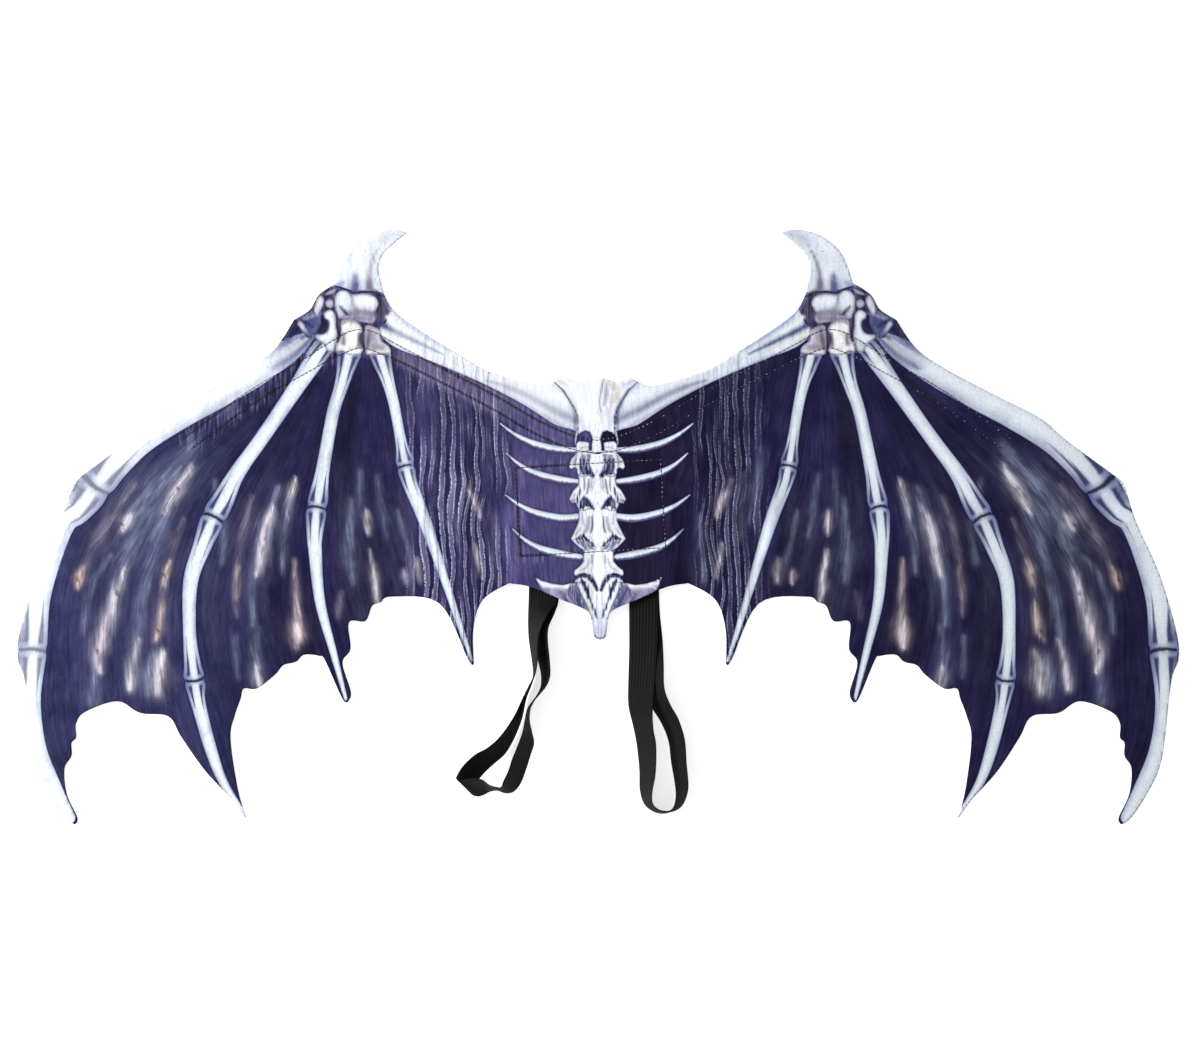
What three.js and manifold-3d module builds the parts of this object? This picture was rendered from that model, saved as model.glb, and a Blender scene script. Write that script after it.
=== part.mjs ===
// Skeleton wings: a costume cape of printed cloth cut as a pair of bat wings, lying face up on a floor.
// +X runs across the span, +Y up the spine toward the claws, +Z up out of the printed face.
// The floor is z = 0 and the origin is the middle of the span and of the height.
import * as THREE from "three";
import { mergeVertices } from "three/addons/utils/BufferGeometryUtils.js";
import Module from "manifold-3d";

const wasm = await Module();
wasm.setup();

// Driving dimensions, in millimetres
const SPAN = 1000;
const HEIGHT = 512;
const GAP = 0.3;
const PANEL_T = 1.5;
const TAPE_W = 20;
const TAPE_T = 1.0;
const PATCH_W = 130;
const PATCH_H = 81;
const PATCH_T = 1.0;
const PATCH_X = -6.5;
const PATCH_Y = 16.5;
const PATCH_TURN_DEG = 3.3;
const STRAP_W = 25;
const STRAP_T = 1.5;
// Sideways slip of the laid cloth per millimetre of height, in each wing, dying out toward its end
const LAY_LEFT = 0.01;
const LAY_RIGHT = 0.018;
const LAY_END = [330, 450];
// Cells of the draped cloth across and along, and how much closer they stand at the spine
const CELLS_X = 88;
const CELLS_Y = 32;
const CELL_SPREAD = 0.3;
const EDGE_STEPS = 2;
const BAND_STEPS = 3;

// The right half of the cut edge, one table per edge, x out from the spine line and y up from mid height
const CUT_EDGES = [
  {
    edge: "collar",
    x: [0, 8, 18, 28, 42, 53],
    y: [127, 128, 125, 129, 122, 122],
  },
  {
    edge: "arm top",
    x: [53, 88, 102, 118, 144, 172, 182],
    y: [122, 132, 138, 148, 164, 184, 200],
  },
  {
    edge: "claw inside",
    x: [182, 186.5, 186, 180, 162],
    y: [200, 219, 227, 238, 253],
  },
  {
    edge: "claw outside",
    x: [162, 173, 191, 208, 217, 223],
    y: [253, 256, 253, 242, 229, 210],
  },
  {
    edge: "wrist",
    x: [223, 238, 246, 260],
    y: [210, 200, 187, 178],
  },
  {
    edge: "forearm",
    x: [260, 272, 284, 308, 348, 382, 404, 446],
    y: [178, 159, 147, 132, 111, 93, 74, 43],
  },
  {
    edge: "outer finger",
    x: [446, 453, 463, 484, 500, 493, 485, 471, 458, 450],
    y: [43, 35, 4, -43, -104, -134, -200, -232, -251, -256],
  },
  {
    edge: "hem under the outer finger",
    x: [450, 448, 457, 459, 453, 453, 449, 449, 441, 414, 395, 371, 360, 340, 318, 305],
    y: [-256, -250, -230, -208, -197, -186, -181, -169, -159, -150, -160, -163, -181, -210, -234, -251],
  },
  {
    edge: "hem under the third finger",
    x: [305, 312, 318, 314, 309, 306, 295, 279, 272, 261, 254, 241, 236, 222, 217],
    y: [-251, -226, -182, -162, -148, -139, -139, -127, -119, -116, -110, -111, -115, -147, -151],
  },
  {
    edge: "hem under the second finger",
    x: [217, 214, 221, 214, 215, 201, 195, 188, 178, 137, 113, 108],
    y: [-151, -142, -117, -105, -82, -81, -68, -65, -60, -66, -114, -118],
  },
  {
    edge: "hem under the first finger",
    x: [108, 108, 100, 80, 73, 57, 31, 11, 7, 5, 0],
    y: [-118, -87, -63, -50, -49, -52, -63, -72, -81, -94, -97],
  },
];

// Centre line of the stitched casing on the right half, from the spine to its end on the outer wing
const CASING = {
  x: [0, 22, 54, 90, 140, 178, 202, 226, 253, 282, 310, 352],
  y: [69, 73, 87, 108, 134, 153, 162, 153, 137, 121, 103, 72],
};

// Soft folds in the lying cloth: ridge middle, sideways drift per millimetre of length, half sizes, height
const FOLDS = [
  { x: -146, y: 40, drift: 0.08, across: 11, along: 80, height: 2.6 },
  { x: -116, y: 25, drift: 0.04, across: 10, along: 85, height: 3.4 },
  { x: -88, y: 45, drift: 0.1, across: 9, along: 60, height: 2.2 },
  { x: -205, y: -15, drift: 0.12, across: 16, along: 70, height: 2.4 },
  { x: -250, y: 60, drift: 0.3, across: 15, along: 60, height: 2.0 },
  { x: -300, y: -60, drift: 0.1, across: 18, along: 80, height: 2.6 },
  { x: -372, y: -35, drift: -0.1, across: 18, along: 85, height: 2.2 },
  { x: -440, y: -90, drift: -0.15, across: 14, along: 90, height: 2.6 },
  { x: 92, y: 45, drift: -0.08, across: 9, along: 65, height: 2.2 },
  { x: 117, y: 28, drift: -0.04, across: 10, along: 85, height: 3.2 },
  { x: 146, y: 45, drift: -0.06, across: 11, along: 75, height: 2.4 },
  { x: 212, y: -20, drift: -0.1, across: 16, along: 70, height: 2.2 },
  { x: 262, y: 40, drift: -0.3, across: 15, along: 60, height: 1.8 },
  { x: 318, y: -50, drift: -0.08, across: 18, along: 80, height: 2.4 },
  { x: 385, y: -40, drift: 0.1, across: 17, along: 85, height: 2.4 },
  { x: 446, y: -95, drift: 0.12, across: 14, along: 90, height: 2.8 },
];

// Each strap is a loop of band. A row is one crosswise line of the band: where its lower long edge stands
// (x, y), how far the upper long edge leans off it (lean_x, lean_y), and the height of the lower edge.
const STRAP_RIGHT = [
  { x: 26.7, y: -11, lean_x: 25, lean_y: 0, lift: 3.1 },
  { x: 26.7, y: -27, lean_x: 25, lean_y: 0, lift: 3.1 },
  { x: 26.7, y: -50, lean_x: 25, lean_y: 0, lift: 2.0 },
  { x: 26.7, y: -80, lean_x: 24.8, lean_y: 0, lift: 1.8 },
  { x: 26.7, y: -106, lean_x: 24.1, lean_y: 0, lift: 1.7 },
  { x: 26, y: -132, lean_x: 22.8, lean_y: -1.6, lift: 1.2 },
  { x: 26, y: -153, lean_x: 21, lean_y: -2.5, lift: 0.5 },
  { x: 30, y: -171, lean_x: 17.5, lean_y: -1.7, lift: 0 },
  { x: 33, y: -186, lean_x: 17, lean_y: -1.7, lift: 0 },
  { x: 35.5, y: -209, lean_x: 14, lean_y: -1.7, lift: 0 },
  { x: 36, y: -226, lean_x: 10.5, lean_y: -1.5, lift: 0 },
  { x: 40, y: -238.5, lean_x: 7, lean_y: 1.2, lift: 0 },
  { x: 48.5, y: -245, lean_x: 4.5, lean_y: 2.5, lift: 0 },
  { x: 57.5, y: -246, lean_x: 4, lean_y: 2.5, lift: 0 },
  { x: 64.5, y: -242, lean_x: 6, lean_y: 2, lift: 0 },
  { x: 67, y: -232, lean_x: 8.5, lean_y: 0.5, lift: 0 },
  { x: 66, y: -220, lean_x: 11.5, lean_y: -1, lift: 0 },
  { x: 63, y: -203, lean_x: 13, lean_y: 0, lift: 0 },
  { x: 60.5, y: -184, lean_x: 14, lean_y: 1.7, lift: 0 },
  { x: 54, y: -168, lean_x: 15, lean_y: 3.5, lift: 0 },
  { x: 46.5, y: -156, lean_x: 15.5, lean_y: 4, lift: 0 },
  { x: 39.5, y: -140, lean_x: 17.5, lean_y: 2, lift: 0 },
  { x: 34.5, y: -119, lean_x: 22, lean_y: 1, lift: 0 },
  { x: 31, y: -97, lean_x: 24.6, lean_y: 0, lift: 0 },
  { x: 28.5, y: -76, lean_x: 24.95, lean_y: 0, lift: 0 },
  { x: 27.5, y: -54, lean_x: 25, lean_y: 0, lift: 0.1 },
  { x: 27, y: -27, lean_x: 25, lean_y: 0, lift: 1.3 },
  { x: 27, y: -11, lean_x: 25, lean_y: 0, lift: 1.3 },
];
const STRAP_LEFT = [
  { x: -59.4, y: -11, lean_x: 25, lean_y: 0, lift: 3.1 },
  { x: -59.4, y: -27, lean_x: 25, lean_y: 0, lift: 3.1 },
  { x: -59.5, y: -48, lean_x: 25, lean_y: 0, lift: 2.1 },
  { x: -59.8, y: -63, lean_x: 24.8, lean_y: 0, lift: 1.8 },
  { x: -60.2, y: -74, lean_x: 18, lean_y: 0, lift: 1.3 },
  { x: -60.2, y: -84, lean_x: 12.5, lean_y: 0, lift: 0.5 },
  { x: -59.4, y: -97, lean_x: 8, lean_y: 0, lift: 0 },
  { x: -56.5, y: -116, lean_x: 4.5, lean_y: 0, lift: 0 },
  { x: -55.5, y: -128, lean_x: 0.8, lean_y: 0.2, lift: 0 },
  { x: -58, y: -137, lean_x: -1, lean_y: 0.6, lift: 0 },
  { x: -62, y: -148, lean_x: -2.5, lean_y: 1, lift: 0 },
  { x: -65.5, y: -165, lean_x: -6.5, lean_y: 2.5, lift: 0 },
  { x: -72, y: -182, lean_x: -11.5, lean_y: 3, lift: 0 },
  { x: -79.5, y: -195, lean_x: -15, lean_y: 6, lift: 0 },
  { x: -89.5, y: -204, lean_x: -16.5, lean_y: 8.5, lift: 0 },
  { x: -99, y: -213, lean_x: -17, lean_y: 8, lift: 0 },
  { x: -106, y: -223, lean_x: -15, lean_y: 10, lift: 0 },
  { x: -108, y: -230, lean_x: -13.5, lean_y: 14, lift: 0 },
  { x: -103.5, y: -232, lean_x: -13, lean_y: 15.5, lift: 0 },
  { x: -98, y: -230.5, lean_x: -8.5, lean_y: 15, lift: 0 },
  { x: -94.5, y: -228.5, lean_x: -5, lean_y: 12, lift: 0 },
  { x: -91, y: -227, lean_x: -2.5, lean_y: 6, lift: 0 },
  { x: -86, y: -226.5, lean_x: -1.5, lean_y: 3.5, lift: 0 },
  { x: -79, y: -229, lean_x: -4, lean_y: 6, lift: 0 },
  { x: -72, y: -227.5, lean_x: -9, lean_y: 10, lift: 0 },
  { x: -66, y: -220, lean_x: -11, lean_y: 11, lift: 0 },
  { x: -61.5, y: -208, lean_x: -12.5, lean_y: 8.5, lift: 0 },
  { x: -57.5, y: -195, lean_x: -12.5, lean_y: 5, lift: 0 },
  { x: -55, y: -186, lean_x: -11.5, lean_y: 5, lift: 0 },
  { x: -57, y: -176, lean_x: -7, lean_y: 2.5, lift: 0 },
  { x: -59, y: -167, lean_x: -3.5, lean_y: 1, lift: 0 },
  { x: -58.5, y: -157, lean_x: -1.8, lean_y: 0.8, lift: 0 },
  { x: -55.5, y: -150, lean_x: -0.4, lean_y: 0.4, lift: 0 },
  { x: -51.5, y: -143.5, lean_x: 1.5, lean_y: 0.8, lift: 0 },
  { x: -49, y: -136.5, lean_x: 5, lean_y: 1, lift: 0 },
  { x: -49, y: -126.5, lean_x: 8, lean_y: 0, lift: 0 },
  { x: -52, y: -113, lean_x: 10.5, lean_y: 0, lift: 0 },
  { x: -54.5, y: -97, lean_x: 11.5, lean_y: 0, lift: 0 },
  { x: -56.5, y: -86, lean_x: 14.2, lean_y: 0, lift: 0 },
  { x: -58, y: -76, lean_x: 20, lean_y: 0, lift: 0 },
  { x: -58.8, y: -64, lean_x: 24.9, lean_y: 0, lift: 0 },
  { x: -59, y: -48, lean_x: 25, lean_y: 0, lift: 0.3 },
  { x: -59.2, y: -27, lean_x: 25, lean_y: 0, lift: 1.3 },
  { x: -59.2, y: -11, lean_x: 25, lean_y: 0, lift: 1.3 },
];

const PRINTED = { color: 0x33304f, roughness: 0.62, metalness: 0 };
const BACKING = { color: 0x17161d, roughness: 0.85, metalness: 0 };
const ELASTIC = { color: 0x1b1b1e, roughness: 0.8, metalness: 0 };

const smooth = (from, to, v) => THREE.MathUtils.smoothstep(v, from, to);

function points(table) {
  return table.x.map((x, i) => new THREE.Vector2(x, table.y[i]));
}

function lay(p) {
  const slip = THREE.MathUtils.lerp(LAY_LEFT, LAY_RIGHT, smooth(-60, 0, p.x));
  const held = 1 - smooth(...LAY_END, Math.abs(p.x));
  return new THREE.Vector2(p.x - slip * held * p.y, p.y);
}

// A spline through each edge in turn, so that the tips between edges stay sharp
function halfOutline() {
  const out = [];
  for (const table of CUT_EDGES) {
    const knots = points(table);
    const curve = new THREE.SplineCurve(knots);
    out.push(...curve.getPoints((knots.length - 1) * EDGE_STEPS).slice(0, -1));
  }
  return out;
}

function panelShape() {
  const right = halfOutline();
  const last = CUT_EDGES[CUT_EDGES.length - 1];
  const tail = new THREE.Vector2(0, last.y[last.y.length - 1]);
  const left = right.slice(1).reverse();
  const whole = [...right, tail, ...left.map((p) => new THREE.Vector2(-p.x, p.y))];
  return new THREE.Shape(whole.map(lay).reverse());
}

function casingLine() {
  const right = new THREE.SplineCurve(points(CASING)).getPoints(36);
  const left = right.slice(1).reverse();
  return [...left.map((p) => new THREE.Vector2(-p.x, p.y)), ...right].map(lay);
}

function tapeShape() {
  const line = casingLine();
  const sides = [[], []];
  line.forEach((p, i) => {
    const before = line[Math.max(i - 1, 0)];
    const after = line[Math.min(i + 1, line.length - 1)];
    const along = after.clone().sub(before).normalize();
    const across = new THREE.Vector2(-along.y, along.x).multiplyScalar(TAPE_W / 2);
    sides[0].push(p.clone().sub(across));
    sides[1].push(p.clone().add(across));
  });
  return new THREE.Shape([...sides[0], ...sides[1].reverse()]);
}

function distanceToLine(line, x, y) {
  let best = Infinity;
  for (let i = 0; i + 1 < line.length; i++) {
    const a = line[i];
    const ab = line[i + 1].clone().sub(a);
    const t = ((x - a.x) * ab.x + (y - a.y) * ab.y) / ab.lengthSq();
    const k = THREE.MathUtils.clamp(t, 0, 1);
    best = Math.min(best, Math.hypot(x - a.x - ab.x * k, y - a.y - ab.y * k));
  }
  return best;
}

function distanceToPatch(x, y) {
  const turn = THREE.MathUtils.degToRad(PATCH_TURN_DEG);
  const dx = x - PATCH_X;
  const dy = y - PATCH_Y;
  const u = dx * Math.cos(turn) + dy * Math.sin(turn);
  const v = dy * Math.cos(turn) - dx * Math.sin(turn);
  return Math.hypot(Math.max(Math.abs(u) - PATCH_W / 2, 0), Math.max(Math.abs(v) - PATCH_H / 2, 0));
}

// How high the doubled strap ends hold the cloth above the floor. Between them it stays up.
function strapHold(rows, x, y) {
  const middle = rows[0].x + STRAP_W / 2;
  const side = Math.max(Math.abs(x - middle) - STRAP_W / 2, 0);
  const reach = (x - middle) * middle < 0 ? 62 : 30;
  const above = Math.max(y - rows[0].y, 0);
  const stack = PATCH_T + 2 * STRAP_T + 3 * GAP + 2.8 * (1 - smooth(-46, -24, y));
  return stack * (1 - smooth(9, reach, side)) * (1 - smooth(15, 45, above));
}

const casing = casingLine();

// Height of the cloth's back above the floor
function drape(x, y) {
  const overTape = TAPE_T + GAP;
  const overPatch = PATCH_T + GAP;
  const toTape = distanceToLine(casing, x, y) - TAPE_W / 2;
  const toPatch = distanceToPatch(x, y);
  const held = Math.max(
    overTape * (1 - smooth(26, 50, toTape)),
    overPatch * (1 - smooth(18, 42, toPatch)),
    strapHold(STRAP_LEFT, x, y),
    strapHold(STRAP_RIGHT, x, y),
  );
  let fold = 0;
  for (const f of FOLDS) {
    const across = (x - f.x - f.drift * (y - f.y)) / f.across;
    const along = (y - f.y) / f.along;
    fold += f.height * Math.exp(-across * across - along * along);
  }
  return held + Math.max(fold - 0.12, 0) * smooth(0, 30, toPatch);
}

function solid(geometry) {
  const g = geometry.clone();
  g.deleteAttribute("normal");
  g.deleteAttribute("uv");
  const merged = mergeVertices(g, 1e-4);
  const mesh = new wasm.Mesh({
    numProp: 3,
    vertProperties: new Float32Array(merged.attributes.position.array),
    triVerts: new Uint32Array(merged.index.array),
  });
  return new wasm.Manifold(mesh);
}

function geometryOf(body) {
  const mesh = body.getMesh();
  const g = new THREE.BufferGeometry();
  g.setAttribute("position", new THREE.BufferAttribute(mesh.vertProperties, 3));
  g.setIndex(new THREE.BufferAttribute(mesh.triVerts, 1));
  const flat = g.toNonIndexed();
  flat.computeVertexNormals();
  return flat;
}

// A draped layer of cloth between two offsets from the cloth's back, trimmed to an outline
function cutCloth(shape, low, high) {
  const g = new THREE.BoxGeometry(2, 2, 2, CELLS_X, CELLS_Y, 1);
  const at = g.attributes.position;
  for (let i = 0; i < at.count; i++) {
    const u = at.getX(i);
    const x = (SPAN / 2 + 12) * u * (1 - CELL_SPREAD + CELL_SPREAD * u * u);
    const y = (HEIGHT / 2 + 12) * at.getY(i);
    at.setXYZ(i, x, y, drape(x, y) + (at.getZ(i) < 0 ? low : high));
  }
  const prism = new THREE.ExtrudeGeometry(shape, { depth: 60, bevelEnabled: false });
  prism.translate(0, 0, -20);
  return geometryOf(solid(g).intersect(solid(prism)));
}

function patchGeometry() {
  const g = new THREE.BoxGeometry(PATCH_W, PATCH_H, PATCH_T);
  g.rotateZ(THREE.MathUtils.degToRad(PATCH_TURN_DEG));
  g.translate(PATCH_X, PATCH_Y, PATCH_T / 2);
  return g;
}

// The band between the two long edges of a strap, as a closed skin of four long sides and two ends
function bandGeometry(rows) {
  const foot = rows.map((r) => new THREE.Vector3(r.x, r.y, r.lift + STRAP_T / 2));
  const head = rows.map((r, i) => {
    const lean = Math.min(Math.hypot(r.lean_x, r.lean_y), STRAP_W);
    const rise = Math.sqrt(STRAP_W * STRAP_W - lean * lean);
    return foot[i].clone().add(new THREE.Vector3(r.lean_x, r.lean_y, rise));
  });
  const lower = new THREE.CatmullRomCurve3(foot);
  const upper = new THREE.CatmullRomCurve3(head);
  const count = (rows.length - 1) * BAND_STEPS;
  const rings = [];
  for (let i = 0; i <= count; i++) {
    const a = lower.getPoint(i / count);
    const b = upper.getPoint(i / count);
    a.z = Math.max(a.z, STRAP_T / 2);
    const along = lower.getTangent(i / count).add(upper.getTangent(i / count));
    const out = along.cross(b.clone().sub(a)).setLength(STRAP_T / 2);
    rings.push([a.clone().add(out), b.clone().add(out), b.clone().sub(out), a.clone().sub(out)]);
  }
  const position = rings.flat().flatMap((p) => p.toArray());
  const index = [0, 1, 2, 0, 2, 3];
  for (let i = 0; i < count; i++) {
    for (let k = 0; k < 4; k++) {
      const a = 4 * i + k;
      const b = 4 * i + ((k + 1) % 4);
      index.push(a, a + 4, b, b, a + 4, b + 4);
    }
  }
  const end = 4 * count;
  index.push(end, end + 2, end + 1, end, end + 3, end + 2);
  const g = new THREE.BufferGeometry();
  g.setAttribute("position", new THREE.Float32BufferAttribute(position, 3));
  g.setIndex(index);
  return geometryOf(solid(g));
}

function named(name, geometry, look) {
  const mesh = new THREE.Mesh(geometry, new THREE.MeshStandardMaterial(look));
  mesh.name = name;
  return mesh;
}

const wings = new THREE.Group();
wings.name = "skeleton_wings";
wings.add(
  named("wing_panel", cutCloth(panelShape(), 0, PANEL_T), PRINTED),
  named("casing_tape", cutCloth(tapeShape(), -GAP - TAPE_T, -GAP), BACKING),
  named("strap_patch", patchGeometry(), BACKING),
  named("strap_left", bandGeometry(STRAP_LEFT), ELASTIC),
  named("strap_right", bandGeometry(STRAP_RIGHT), ELASTIC),
);

export default wings;
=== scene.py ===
"""Skeleton wings: a costume cape of printed cloth cut as a pair of bat wings, with two
elastic shoulder loops, lying face up on a pale floor.

Tables are in millimetres in the frame of the CAD model. Meshes are in metres."""

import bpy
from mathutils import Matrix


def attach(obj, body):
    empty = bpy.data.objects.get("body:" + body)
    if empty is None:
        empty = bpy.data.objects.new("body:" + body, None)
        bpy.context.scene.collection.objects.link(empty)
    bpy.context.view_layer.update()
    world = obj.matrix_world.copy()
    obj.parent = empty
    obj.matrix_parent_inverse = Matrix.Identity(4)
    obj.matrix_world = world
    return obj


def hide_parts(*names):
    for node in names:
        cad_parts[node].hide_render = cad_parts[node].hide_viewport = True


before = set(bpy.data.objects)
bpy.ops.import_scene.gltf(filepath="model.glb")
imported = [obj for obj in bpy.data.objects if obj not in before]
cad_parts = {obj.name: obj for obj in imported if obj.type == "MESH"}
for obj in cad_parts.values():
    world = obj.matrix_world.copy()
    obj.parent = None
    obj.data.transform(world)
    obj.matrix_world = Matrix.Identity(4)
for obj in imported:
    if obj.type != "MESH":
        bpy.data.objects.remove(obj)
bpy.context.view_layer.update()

import math

import bmesh
import bpy
import numpy as np
from bpy.props import FloatProperty, FloatVectorProperty, IntProperty, PointerProperty
from bpy.types import Operator, Panel, PropertyGroup
from mathutils import Matrix, Vector

bl_info = {
    "name": "Skeleton wings",
    "version": (1, 0, 0),
    "blender": (4, 5, 0),
    "location": "View3D > Sidebar > Wings",
    "description": "Models a printed bat-wing cape with elastic shoulder loops",
    "category": "Object",
}

MM = 0.001
BODY = "root"

# Pattern of the cloth

# The right half of the cut edge, one table per edge: x out from the spine, y up.
CUT_EDGES = {
    "collar": (
        (0, 8, 18, 28, 42, 53),
        (127, 128, 125, 129, 122, 122),
    ),
    "arm top": (
        (53, 88, 102, 118, 144, 172, 182),
        (122, 132, 138, 148, 164, 184, 200),
    ),
    "claw inside": (
        (182, 186.5, 186, 180, 162),
        (200, 219, 227, 238, 253),
    ),
    "claw outside": (
        (162, 173, 191, 208, 217, 223),
        (253, 256, 253, 242, 229, 210),
    ),
    "wrist": (
        (223, 238, 246, 260),
        (210, 200, 187, 178),
    ),
    "forearm": (
        (260, 272, 284, 308, 348, 382, 404, 446),
        (178, 159, 147, 132, 111, 93, 74, 43),
    ),
    "outer finger": (
        (446, 453, 463, 484, 500, 493, 485, 471, 458, 450),
        (43, 35, 4, -43, -104, -134, -200, -232, -251, -256),
    ),
    "hem under the outer finger": (
        (450, 448, 457, 459, 453, 453, 449, 449, 441, 414, 395, 371, 360, 340, 318, 305),
        (-256, -250, -230, -208, -197, -186, -181, -169, -159, -150, -160, -163, -181,
         -210, -234, -251),
    ),
    "hem under the third finger": (
        (305, 312, 318, 314, 309, 306, 295, 279, 272, 261, 254, 241, 236, 222, 217),
        (-251, -226, -182, -162, -148, -139, -139, -127, -119, -116, -110, -111, -115,
         -147, -151),
    ),
    "hem under the second finger": (
        (217, 214, 221, 214, 215, 201, 195, 188, 178, 137, 113, 108),
        (-151, -142, -117, -105, -82, -81, -68, -65, -60, -66, -114, -118),
    ),
    "hem under the first finger": (
        (108, 108, 100, 80, 73, 57, 31, 11, 7, 5, 0),
        (-118, -87, -63, -50, -49, -52, -63, -72, -81, -94, -97),
    ),
}
EDGE_STEPS = 6

# Closely drawn parts of the print: x out from the spine, y, and extra cuts of each cell
FINE_AREAS = (
    ((0, 27), (-100, 86), 2),
    ((27, 84), (-32, 92), 1),
    ((0, 48), (86, 132), 1),
    ((168, 262), (144, 211), 2),
    ((48, 168), (100, 200), 1),
)

# Centre line of the stitched casing on the right half
CASING = (
    (0, 22, 54, 90, 140, 178, 202, 226, 253, 282, 310, 352),
    (69, 73, 87, 108, 134, 153, 162, 153, 137, 121, 103, 72),
)

# Soft folds: ridge middle x, y, sideways drift, half width, half length, height
FOLDS = (
    (-146, 40, 0.08, 11, 80, 2.6),
    (-116, 25, 0.04, 10, 85, 3.4),
    (-88, 45, 0.1, 9, 60, 2.2),
    (-205, -15, 0.12, 16, 70, 2.4),
    (-250, 60, 0.3, 15, 60, 2.0),
    (-300, -60, 0.1, 18, 80, 2.6),
    (-372, -35, -0.1, 18, 85, 2.2),
    (-440, -90, -0.15, 14, 90, 2.6),
    (92, 45, -0.08, 9, 65, 2.2),
    (117, 28, -0.04, 10, 85, 3.2),
    (146, 45, -0.06, 11, 75, 2.4),
    (212, -20, -0.1, 16, 70, 2.2),
    (262, 40, -0.3, 15, 60, 1.8),
    (318, -50, -0.08, 18, 80, 2.4),
    (385, -40, 0.1, 17, 85, 2.4),
    (446, -95, 0.12, 14, 90, 2.8),
)

# Ridges of the sharp pleats beside the middle, as they lie
PLEATS = (
    (-184, -173, -162, -149.5, -142, -133.5, -126, -118, -112.5, -106, -100.5, -94.5, -88, -80,
     -71, -60),
    (64, 74, 82, 88.5, 95, 100.5, 106, 113.5, 121, 129, 139, 150, 162),
)

# Sideways slip of the lying cloth: on each side of the spine, and where it turns and ends
LAY_LEFT, LAY_RIGHT = 0.01, 0.018
LAY_TURN, LAY_END = (-60, 0), (330, 450)

# Sewn layers, the rows of stitching, and the gap between layers
TAPE_W, TAPE_T = 20, 1.0
PATCH_SIZE, PATCH_AT, PATCH_T = (130, 81), (-6.5, 16.5), 1.0
PATCH_TURN = math.radians(3.3)
STITCH_BOX = (125, 76)
STITCH_ROW = 8
STITCH_FILL, STITCH_OVERLAP, STITCH_SEAT = 0.98, 1.06, 0.6
CASING_STEPS, CASING_SLIM, CASING_SLIM_REACH = 8, 0.7, 26
GAP, LAYER_TRIM = 0.3, 0.05
STRAP_W, STRAP_T = 25, 1.5
STRAP_TRIM, STRAP_ROUND = 0.15, 0.06

# Cloth over what it covers: distances where its full lift ends and where it is gone
TAPE_EASE, PATCH_EASE, STRAP_EASE = (26, 50), (18, 42), (15, 45)
STRAP_SHOULDER, INNER_REACH, OUTER_REACH = 9, 62, 30
HEM_LIFT, HEM_EASE = 2.8, (-46, -24)
FOLD_FLOOR, FOLD_EASE = 0.12, (0, 30)
PRINT_LIFT, BACK_LIFT = 0.35, 0.3
LOWEST_TOP, LOWEST_BACK, LOWEST_STRAP = 0.6, 0.1, 0.02

# Creases: strength, cells along and across, seed. Then where the gathers start and end.
CREASE_WARPS = ((0.9, 26, 40, 5), (0.35, 9, 14, 6))
CREASE_CELL = (10, 85)
GATHER_START, GATHER_END, GATHER_TOP = (52, 84), (150, 200), (50, 100)
GROOVE_W, PUCKER_REACH, PUCKER_CELL = 1.6, 7, (6, 9)

# Sway of the pleats: strength, turn from one pleat to the next, cell down them, seed
PLEAT_SWAYS = ((3.4, 0.25, 42, 61), (2.2, 1.7, 19, 62), (0.6, 2.3, 8, 63))
PLEAT_INSET, PLEAT_SIDE = 6, 40

# Cells of the reverse, and half the span that the cuts cover on both axes
BACK_CELL, CUT_REACH = 8.0, (510, 262)

# Shifts that give the left wing creases and fibres of its own
CREASE_SHIFT, FIBRE_SHIFT = 900, 1900

# How strongly the painted glints beside the stitches show on each wing, and where that turns
STITCH_GLINT_LEFT, STITCH_GLINT_RIGHT, STITCH_GLINT_TURN = 0.15, 0.8, (-40, 20)

# Weaves and threads in metres: pitch and depth, or pitch alone
REVERSE_WEAVE, TAPE_WEAVE, PATCH_WEAVE = (0.0009, 0.00008), (0.0012, 0.0001), (0.0014, 0.00012)
PURL_PITCH, TWIST_PITCH = 0.0016, 0.0007

# Stage in metres: half side and drop of the floor, then name, size and place of each lamp
FLOOR_HALF, FLOOR_DROP = 6.0, 0.0003
LAMPS = (("window", 1.6, (-3.5, 0.8, 2.0)), ("key", 0.9, (-1.3, 0.3, 1.0)))
SKY_TINT = (0.97, 0.98, 1.0, 1.0)
SENSOR_W, CAMERA_AT = 36.0, (0.0017, -0.0009)

# A row is one crosswise line of a strap: its lower edge's x and y, the lean of its upper
# edge in x and y, and the height of the lower edge.
STRAP_RIGHT = (
    (26.7, -11, 25, 0, 3.1), (26.7, -27, 25, 0, 3.1), (26.7, -50, 25, 0, 2.0),
    (26.7, -80, 24.8, 0, 1.8), (26.7, -106, 24.1, 0, 1.7), (26, -132, 22.8, -1.6, 1.2),
    (26, -153, 21, -2.5, 0.5), (30, -171, 17.5, -1.7, 0), (33, -186, 17, -1.7, 0),
    (35.5, -209, 14, -1.7, 0), (36, -226, 10.5, -1.5, 0), (40, -238.5, 7, 1.2, 0),
    (48.5, -245, 4.5, 2.5, 0), (57.5, -246, 4, 2.5, 0), (64.5, -242, 6, 2, 0),
    (67, -232, 8.5, 0.5, 0), (66, -220, 11.5, -1, 0), (63, -203, 13, 0, 0),
    (60.5, -184, 14, 1.7, 0), (54, -168, 15, 3.5, 0), (46.5, -156, 15.5, 4, 0),
    (39.5, -140, 17.5, 2, 0), (34.5, -119, 22, 1, 0), (31, -97, 24.6, 0, 0),
    (28.5, -76, 24.95, 0, 0), (27.5, -54, 25, 0, 0.1), (27, -27, 25, 0, 1.3),
    (27, -11, 25, 0, 1.3),
)
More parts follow.
